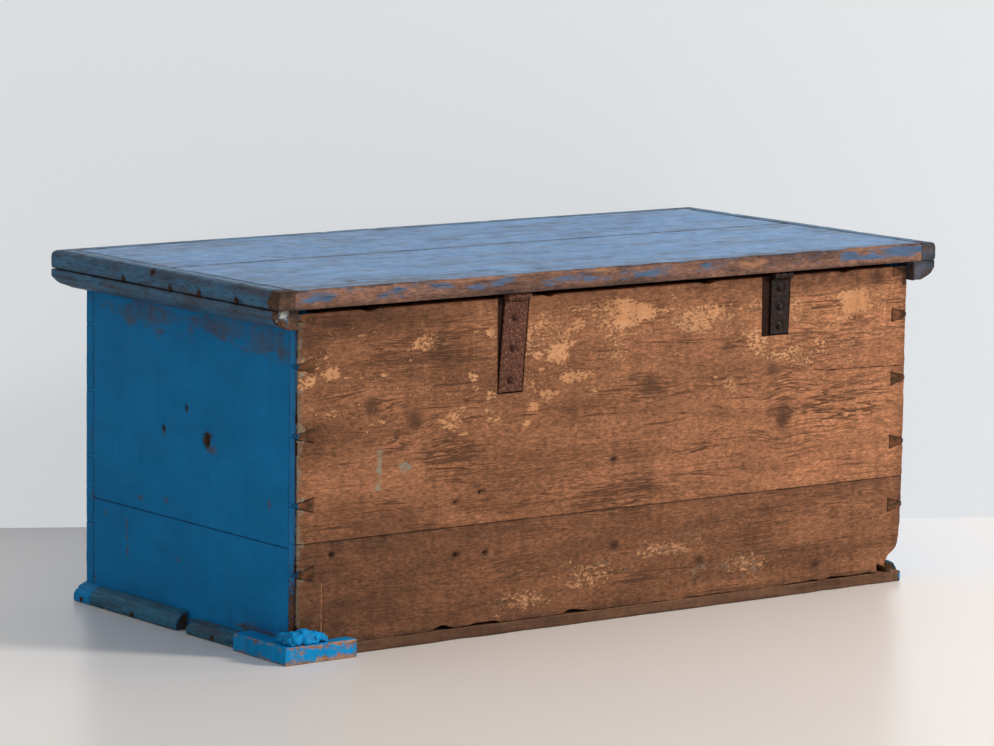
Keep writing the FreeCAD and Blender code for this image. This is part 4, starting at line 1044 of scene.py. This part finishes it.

# The lid: two pine boards side by side, painted a greyer blue that has chalked along its grain, dented
# by the hinges' nails. The top's pale colour is partly that chalked paint and partly a painted sheen.
# Its rear edge is bare, dirty, with patches of paint and a fresh upper arris.
LID_END, LID_JOINT = 562, -25
LID_DENTS = ((430, 262, 70, 12, 0.3), (203, 226, 16, 9, 1.6), (192, 247, 9, 6, 1.5), (122, 247, 10, 7, 1.5),
    (438, 234, 9, 7, 1.2), (-138, 262, 12, 6, 1), (-252, 268, 22, 7, 1))
LID_BLUES = ((323, 497, 26, 7), (398, 496, 18, 6), (263, 497, 17, 5), (215, 498, 17, 5), (106, 496, 34, 5),
    (-23, 496, 32, 5), (-508, 500, 54, 12, 1.2), (-148, 502, 12, 4), (-423, 502, 22, 5), (520, 500, 20, 5))
LID_FRESH = ((480, 507, 90, 5), (232, 509, 100, 3), (-205, 500, 70, 6), (-455, 509, 66, 4), (62, 508, 46, 3))
LID_LINES = (([(-480, 60), (-180, 64), (120, 61), (400, 66)], 1, 0.5),
    ([(-300, 150), (-60, 154), (150, 151)], 0.9, 0.4), ([(-560, -150), (-200, -146), (60, -149)], 0.9, 0.4))
# The top coat is much paler than the walls' blue and than the darker blue kept for the lid's edges: partly
# chalked paint, partly a painted sheen that stands in for the grazing reflection of the pale room.
lid_look = timber_finish("chalked_lid_paint", ((0.048, 0.028, 0.024), (0.285, 0.138, 0.09)),
    ((0.124, 0.358, 0.725), (0.018, 0.106, 0.26)), ((0.065, 0.16, 0.33), (0.05, 0.085, 0.15)), tear=150,
    softness=0.3, coat_roughness=0.45, specular=0.32, relief=0.6, streaks=0.75, lines=0.6, drawn=0.35,
    contrast=1, weathered=1, swept=0, stain=(0.016, 0.013, 0.014), fresh=(0.42, 0.2, 0.11),
    fresh_soft=0.4), "lid_paint", "lid"


def lid_wear(points, distance):
    waves = swell(points, 0.3, (260, 90, 1), 91) + swell(points, 0.1, (90, 7, 1), 92)
    return waves + pits(points, LID_DENTS)


def lid_rounding(points):
    side = np.where(np.abs(points[:, 0]) > 555, 4.5, 2.6) + 1.4 * rough(points, 24, 94)
    rear = 2.6 + 1.6 * rough(points, (40, 12, 1), 93)
    return np.clip(np.where(points[:, 1] > 278, rear, side), 0.4, 7)


def lid_fray(points):
    flat, moved = flat3(points), points.copy()
    wave = 0.5 * (1 + rough(flat, (120, 10, 1), 95)) + 2.4 * lumps(flat, (30, 10, 1), 96, 0.7)
    moved[:, 1] -= (points[:, 1] > 280) * wave
    return moved


def lid_marks(xyz, zone, edge):
    x, y, z = xyz.T
    top, side, under = zone == 0, zone == 1, zone == 2
    far = y > BACK_PLANE
    rear = side & far
    paint = 0.99 - 0.25 * unit(1 - edge / 3) - 0.55 * unit(1 - edge / 8) * far
    paint -= 0.2 * lumps(xyz, (160, 30, 1), 97, 0.35)
    left = 0.36 * spots(x, z, LID_BLUES, 98, 0.5) + 0.22 + 0.3 * np.clip(rough(xyz, (30, 1, 8), 99), -1, 1)
    paint = np.where(rear, left * unit((z - 485) / 8), np.where(side, 0.4, paint))
    fresh = 0.6 * spots(x, z, LID_FRESH, 100, 0.3) + 0.35 * lumps(xyz, (40, 9, 7), 104)
    dents = spots(x, y, [(u, v, 1.3 * a, 1.2 * b) for u, v, a, b, _ in LID_DENTS], 102, 0.4)
    near = unit((y - 236) / 30) * unit(1 + rough(xyz, (50, 14, 1), 105))
    reach = (3 + 2.5 * rough(xyz, 12, 106)).clip(1, 9)
    gap = np.minimum(np.abs(y - LID_JOINT) / 6, (LID_END - np.abs(x)) / reach)
    dark = rear * (0.06 + 0.5 * unit((492 - z) / 8) + 0.5 * lumps(xyz, (30, 9, 8), 107))
    dirt = 0.9 * dents + 0.55 * near + 0.45 * lumps(xyz, (90, 22, 5), 103, 0.1) + unit(1.6 - gap)
    return dict(grain=xyz * (0.7, 0.5, 1), paint=paint * ~under, dark=dark + top * dirt, other=side,
        tone=np.where(under, 0.85, 0.7) + 0.3 * rough(xyz, (60, 30, 10), 101),
        fresh=(rear | (top & (edge < 6) & far)) * fresh)


worn_board("lid_board_front", "xyz", 1, lid_look, lid_marks, lid_wear, lid_rounding, cuts=LID_LINES[2:],
    cell=4, prism=True)
worn_board("lid_board_rear", "xyz", 1, lid_look, lid_marks, lid_wear, lid_rounding, lid_fray, LID_LINES[:2],
    cell=3.4, prism=True, low_round=1.5, row=2.4)

# The lid's frame: a rounded nosing mitred round the front and both ends, and below it a deeper moulding that
# closes over the walls. Softwood, nailed, painted with the lid and worn to brown along its arrises.
NOSING_SECTION = ((0, 0, 0), (28, 0, 4), (28, 27.5, 10), (0, 27.5, 2.5))
MOULDING_SHARES, MOULDING_RISES, MOULDING_ROUND = (0.36, 0.8, 1), (0, 7.35, 17.5, 28.5), 9
CHIP_PLACE, CHIP_SIZE, FRAME_JOINT = (574, 272, 479), (6, 7, 6), 483.5
frame_look = timber_finish("worn_nosing_paint", ((0.06, 0.036, 0.026), (0.19, 0.095, 0.055)),
    ((0.055, 0.2, 0.375), (0.028, 0.112, 0.2)), ((0.62, 0.61, 0.57), (0.52, 0.51, 0.48)), tear=48,
    softness=0.6, specular=0.2, relief=0.9, streaks=0.45, drawn=0.5, contrast=1, weathered=1, swept=0,
    rust=(0.04, 0.02, 0.014), fresh=(0.3, 0.13, 0.07), fresh_soft=0.4,
    stain=(0.02, 0.018, 0.018)), "nosing_paint", "lid"


def loose_parts(node):
    """The separate solids of a CAD piece, each as its points in millimetres."""
    shape = cad_shape(node)
    parts, left = [], set(shape.verts)
    while left:
        group, waiting = [], [left.pop()]
        while waiting:
            vert = waiting.pop()
            group.append(vert.co[:])
            linked = {edge.other_vert(vert) for edge in vert.link_edges} & left
            left -= linked
            waiting += linked
        parts.append(np.array(group) / MM)
    shape.free()
    return sorted(parts, key=lambda part: tuple(part.mean(0).round(1)))


nosing_nail_places = [part.mean(0) for part in loose_parts("nosing_nails")]


def frame_wear(place, ring, exposed):
    knocks = 2.2 * lumps(place, (30, 12, 1), 113, 0.55) * (0.2 + exposed)
    waves = swell(place, 0.3, (150, 40, 1), 111) + swell(place, 0.12, (22, 8, 1), 112)
    return (waves + knocks) * (ring[:, 0] > 0.4)


def frame_marks(cover, worn):
    def marks(xyz, exposed, ends):
        x, y, z = xyz.T
        upper = z > FRAME_JOINT
        away = np.min([sizes((xyz - place) * (1, 1, 0.8)) for place in nosing_nail_places], 0)
        paint = cover - worn * exposed * (0.6 + 0.4 * noise(xyz, 40, 114))
        paint += 0.16 * rough(xyz, (50, 50, 14), 115)
        bare = (np.abs(x) > HALF_LENGTH) & (y > np.where(upper, 262, 268) + 5 * rough(xyz, (7, 7, 7), 119))
        chip = sizes((xyz - CHIP_PLACE) / CHIP_SIZE)
        chip = unit(1.5 - chip * (1 + 0.6 * rough(xyz, 5, 120)))
        paint = np.where(bare, np.where(x > 0, 0.15, 0.4), np.where(ends > 0, 0.62, paint))
        inner = unit(1.5 - (np.abs(x) - LID_END) / 2) * (z > 506) * (np.abs(x) > LID_END - 0.1)
        crack = np.maximum(unit(1.3 - np.abs(z - 484) / 2.5), inner)
        dark = 0.12 + 0.9 * crack + np.where(x > 0, 0.2, 0.5) * bare
        dark += np.where(upper, 0.55, 0.3) * lumps(xyz, (26, 26, 9), 117)
        low = lumps(xyz, (55, 55, 20), 116, 0.2) * (z < 478) * 0.54
        return dict(paint=np.maximum(paint, chip), tone=0.42 + 0.25 * noise(xyz, (40, 40, 9), 118),
            dark=dark * (1 - chip), fresh=np.where(bare, 0.3, low) * (1 - chip),
            rust=unit(1.2 - away / 9) * 0.85, other=chip)
    return marks


def moulding_section(width):
    first, second, last = (share * width for share in MOULDING_SHARES)
    foot, knee, lip, top = MOULDING_RISES
    return ((0, foot, 0), (first, foot, MOULDING_ROUND), (second, knee, MOULDING_ROUND), (last, lip, 3),
        (last, top, 0.8), (0, top, 0))


def frame_length(kind, side, sign, marks):
    """A length of the lid's frame: between two mitres at the front, from a mitre to the rear at an end."""
    side_low, side_high = (np.array(corner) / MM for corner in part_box(f"lid_{kind}_right"))
    front_low, front_high = (np.array(corner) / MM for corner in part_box(f"lid_{kind}_front"))
    in_x, in_y, foot = side_low[0], front_high[1], front_low[2]
    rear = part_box(f"lid_{kind}_{side}")[1][1] / MM
    widths = in_y - front_low[1], side_high[0] - in_x
    turn = widths[1] / widths[0]
    section = NOSING_SECTION if kind == "nosing" else moulding_section(widths[abs(sign)])
    place = (0, in_y, foot), (1, 0, 0), (0, -1, 0), (-in_x, in_x), (-turn, turn)
    if sign:
        place = (sign * in_x, 0, foot), (0, 1, 0), (sign, 0, 0), (in_y, rear), (-1 / turn, 0)
    worn_moulding(f"lid_{kind}_{side}", section, *place, frame_look, marks, frame_wear, 1.2 if sign else 0.6)


nosing_marks, band_marks = frame_marks(0.9, 0.42), frame_marks(0.78, 0.45)
for side, sign in (("front", 0), ("right", 1), ("left", -1)):
    frame_length("nosing", side, sign, nosing_marks)
    frame_length("moulding", side, sign, band_marks)

# The hinges: wrought straps let into the back and nailed, leaves under the lid, each rolled into knuckles
# round a pin. The right one is brown with rust, the left one nearly black, in a housing cut too wide.
IRON_VOXEL, SOOT = 0.9, (0.006, 0.003, 0.003)


def iron_finish(name, scale_colour, rust, rust_share, roughness):
    """Wrought iron: dark scale under scabs of two rusts by a share, with grit and soot."""
    material, tree, shader = new_material(name)
    place = put(tree, "TexCoord", out="Object")
    scabs = speckle(place, (130, 130, 130), 5, 0.65)
    height = scabs
    grit = speckle(place, (330, 330, 330), 4, 0.75, 0.5, 0.7)
    soot = speckle(place, (260, 260, 260), 4, 0.7, 0.54, 0.64)
    scabs = scabs.over(1 - rust_share, 1.25 - rust_share)
    body = tint(grit * (scabs * 0.7), tint(scabs, scale_colour, rust[0]), rust[1])
    bump = put(tree, "Bump", {"Height": height + grit * 0.35, "Strength": 0.7, "Distance": 0.0007})
    feed(shader, {"Base Color": tint(soot, body, blend(scale_colour, SOOT, 0.75)),
        "Metallic": (1 - scabs) * 0.2, "Roughness": scabs.over(to=(roughness, 0.85)),
        "Specular IOR Level": 0.18, "Normal": bump})
    return material


rusty_iron = iron_finish("rusty_iron", (0.045, 0.019, 0.014), ((0.098, 0.037, 0.023), (0.53, 0.25, 0.16)),
    0.95, 0.5)
black_iron = iron_finish("black_iron", (0.011, 0.0055, 0.0045), ((0.03, 0.01, 0.006), (0.12, 0.048, 0.03)),
    0.5, 0.42)
nail_iron = iron_finish("nail_iron", (0.029, 0.012, 0.009), ((0.06, 0.023, 0.015), (0.19, 0.085, 0.055)),
    0.9, 0.6)


def forged(node, finish, slot, body):
    points, faces, normals = remeshed(node, IRON_VOXEL)
    pitted = 0.22 * (1 + rough(points, 8, 121)) + 0.45 * lumps(points, 4, 122, 0.2)
    if "strap" in node:
        for nail in loose_parts(node.replace("hinge_strap", "strap_nails")):
            away = np.linalg.norm((points - nail.mean(0))[:, (0, 2)], axis=1)
            pitted = pitted + 1.1 * np.exp(-((away - 6.8) / 2) ** 2)
    pitted = np.where(points[:, 2] > 470, 0.3 * pitted, pitted * (points[:, 1] > BACK_PLANE - 2))
    piece = mesh_object(node + "_forged", ((points - normals * pitted[:, None]) * MM).tolist(), faces,
        finish)
    piece.data.shade_smooth()
    hand_over(piece, node, slot, body)


for side, finish, slot in (("right", rusty_iron, "rusty_iron"), ("left", black_iron, "black_iron")):
    forged("hinge_strap_" + side, finish, slot, "case")
    forged("hinge_leaf_" + side, finish, slot, "lid")
    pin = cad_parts["hinge_pin_" + side].data.materials
    pin.clear()
    pin.append(finish)

# The nails: hand-made from iron, with hammered heads on square shanks. They hold the hinges, the nosing,
# the mouldings and the floor.
NAIL_SIDES = 9
NAIL_RINGS = ((0, 0.36), (0.45, 0.32), (0.8, 0.2), (1, 0.03), (0.97, -0.05), (0.34, -0.1), (0.22, -2.6),
    (0, -3.2))
NAIL_NODES = {"shape": ("GeometryNodeObjectInfo", {}), "plain": ("GeometryNodeRealizeInstances", {}),
    "way": ("GeometryNodeInputNamedAttribute", {"data_type": "FLOAT_VECTOR"}),
    "aim": ("FunctionNodeAlignRotationToVector", {"axis": "Z"}),
    "spin": ("FunctionNodeRandomValue", {"data_type": "FLOAT"}),
    "turn": ("FunctionNodeAxisAngleToRotation", {}),
    "turned": ("FunctionNodeRotateRotation", {"rotation_space": "LOCAL"}),
    "scale": ("FunctionNodeRandomValue", {"data_type": "FLOAT"}), "dress": ("GeometryNodeSetMaterial", {}),
    "sized": ("ShaderNodeMath", {"operation": "MULTIPLY"}), "place": ("GeometryNodeInstanceOnPoints", {}),
    "given": ("NodeGroupInput", {}), "result": ("NodeGroupOutput", {})}
NAIL_LINKS = (("given", "Nail", "shape", "Object"), ("way", "Attribute", "aim", "Vector"),
    ("given", "Seed", "spin", "Seed"), ("given", "Seed", "scale", "Seed"), ("spin", 1, "turn", "Angle"),
    ("aim", 0, "turned", "Rotation"), ("turn", 0, "turned", "Rotate By"), ("scale", 1, "sized", 0),
    ("given", "Head radius", "sized", 1), ("given", "Geometry", "place", "Points"),
    ("shape", "Geometry", "place", "Instance"), ("turned", 0, "place", "Rotation"),
    ("sized", 0, "place", "Scale"), ("place", 0, "plain", 0), ("plain", 0, "dress", "Geometry"),
    ("given", "Iron", "dress", "Material"), ("dress", 0, "result", 0))


def nail_tree():
    """Puts one nail on each point, turned along its way, spun and sized at random, as one plain mesh."""
    tree = bpy.data.node_groups.new("nails", "GeometryNodeTree")
    sockets = {label: tree.interface.new_socket(label, in_out="INPUT", socket_type="NodeSocket" + kind)
        for label, kind in (("Geometry", "Geometry"), ("Head radius", "Float"), ("Seed", "Int"),
        ("Nail", "Object"), ("Iron", "Material"))}
    tree.interface.new_socket("Geometry", in_out="OUTPUT", socket_type="NodeSocketGeometry")
    nodes = {}
    for label, (kind, settings) in NAIL_NODES.items():
        nodes[label] = tree.nodes.new(kind)
        for key, value in settings.items():
            setattr(nodes[label], key, value)
    nodes["way"].inputs["Name"].default_value = "way"
    nodes["spin"].inputs[3].default_value = 6.2832
    nodes["scale"].inputs[2].default_value = 0.88
    nodes["scale"].inputs[3].default_value = 1
    for source, output, target, entry in NAIL_LINKS:
        tree.links.new(nodes[source].outputs[output], nodes[target].inputs[entry])
    return tree, {label: socket.identifier for label, socket in sockets.items()}


def one_nail():
    """A nail of head radius 1 that looks up its Z: rings of a hammered dome, then a square tapered shank."""
    shape = bmesh.new()
    before = None
    for radius, height in NAIL_RINGS:
        ring = []
        for k in range(NAIL_SIDES if radius else 1):
            angle = 2 * math.pi * k / NAIL_SIDES
            reach = radius * (1 - 0.07 * (k % 3) if height > -0.08 else 1)
            ring.append(shape.verts.new((reach * math.cos(angle), reach * math.sin(angle),
                height + 0.04 * math.sin(3 * k) * (0 < radius < 1))))
        for k in range(NAIL_SIDES if before else 0):
            quad = [before[k % len(before)], before[(k + 1) % len(before)], ring[(k + 1) % len(ring)],
                ring[k % len(ring)]]
            shape.faces.new(list(dict.fromkeys(quad)))
        before = ring
    bmesh.ops.recalc_face_normals(shape, faces=shape.faces)
    mesh = bpy.data.meshes.new("nail")
    shape.to_mesh(mesh)
    shape.free()
    return new_object("nail", mesh)


NAILS, NAIL_INPUTS = nail_tree()
nail_shape = one_nail()
nail_shape.hide_render = True


def nails(node, body, seed, finish=nail_iron, slot="rusty_iron", growth=1):
    """The nails of one CAD group, each where its solid is and looking the way that its head looks."""
    places, ways, radii = [], [], []
    for part in loose_parts(node):
        low, high = part.min(0), part.max(0)
        axis = int(np.argmax(high - low))
        ends = [part[np.abs(part[:, axis] - end) < 2.2] for end in (low[axis], high[axis])]
        widths = [np.delete(np.ptp(points, axis=0), axis).max() for points in ends]
        outward = 1 if widths[1] > widths[0] else -1
        radius, middle, way = max(widths) / 2, (low + high) / 2, np.zeros(3)
        middle[axis] = (high if outward > 0 else low)[axis] - outward * 0.36 * radius
        way[axis] = outward
        places.append(middle * MM)
        ways.append(way)
        radii.append(radius)
    cloud = bpy.data.meshes.new("places")
    cloud.from_pydata(np.array(places).tolist(), [], [])
    cloud.attributes.new("way", "FLOAT_VECTOR", "POINT").data.foreach_set("vector", np.ravel(ways))
    piece = new_object(node + "_hammered", cloud)
    maker = piece.modifiers.new("nails", "NODES")
    maker.node_group = NAILS
    for label, value in (("Head radius", float(np.median(radii)) * MM * growth), ("Seed", seed),
            ("Nail", nail_shape), ("Iron", finish)):
        maker[NAIL_INPUTS[label]] = value
    mesh = bpy.data.meshes.new_from_object(piece.evaluated_get(bpy.context.evaluated_depsgraph_get()))
    piece.modifiers.remove(maker)
    piece.data = mesh
    hand_over(piece, node, slot, body)


for seed, (node, body) in enumerate((("leaf_nails", "lid"), ("nosing_nails", "lid"),
        ("lid_moulding_nails", "lid"), ("floor_nails", "case"), ("base_nails", "case"))):
    nails(node, body, seed)
nails("strap_nails_right", "case", 6, growth=1.35)
nails("strap_nails_left", "case", 7, black_iron, "black_iron", 1.2)
bpy.data.objects.remove(nail_shape)
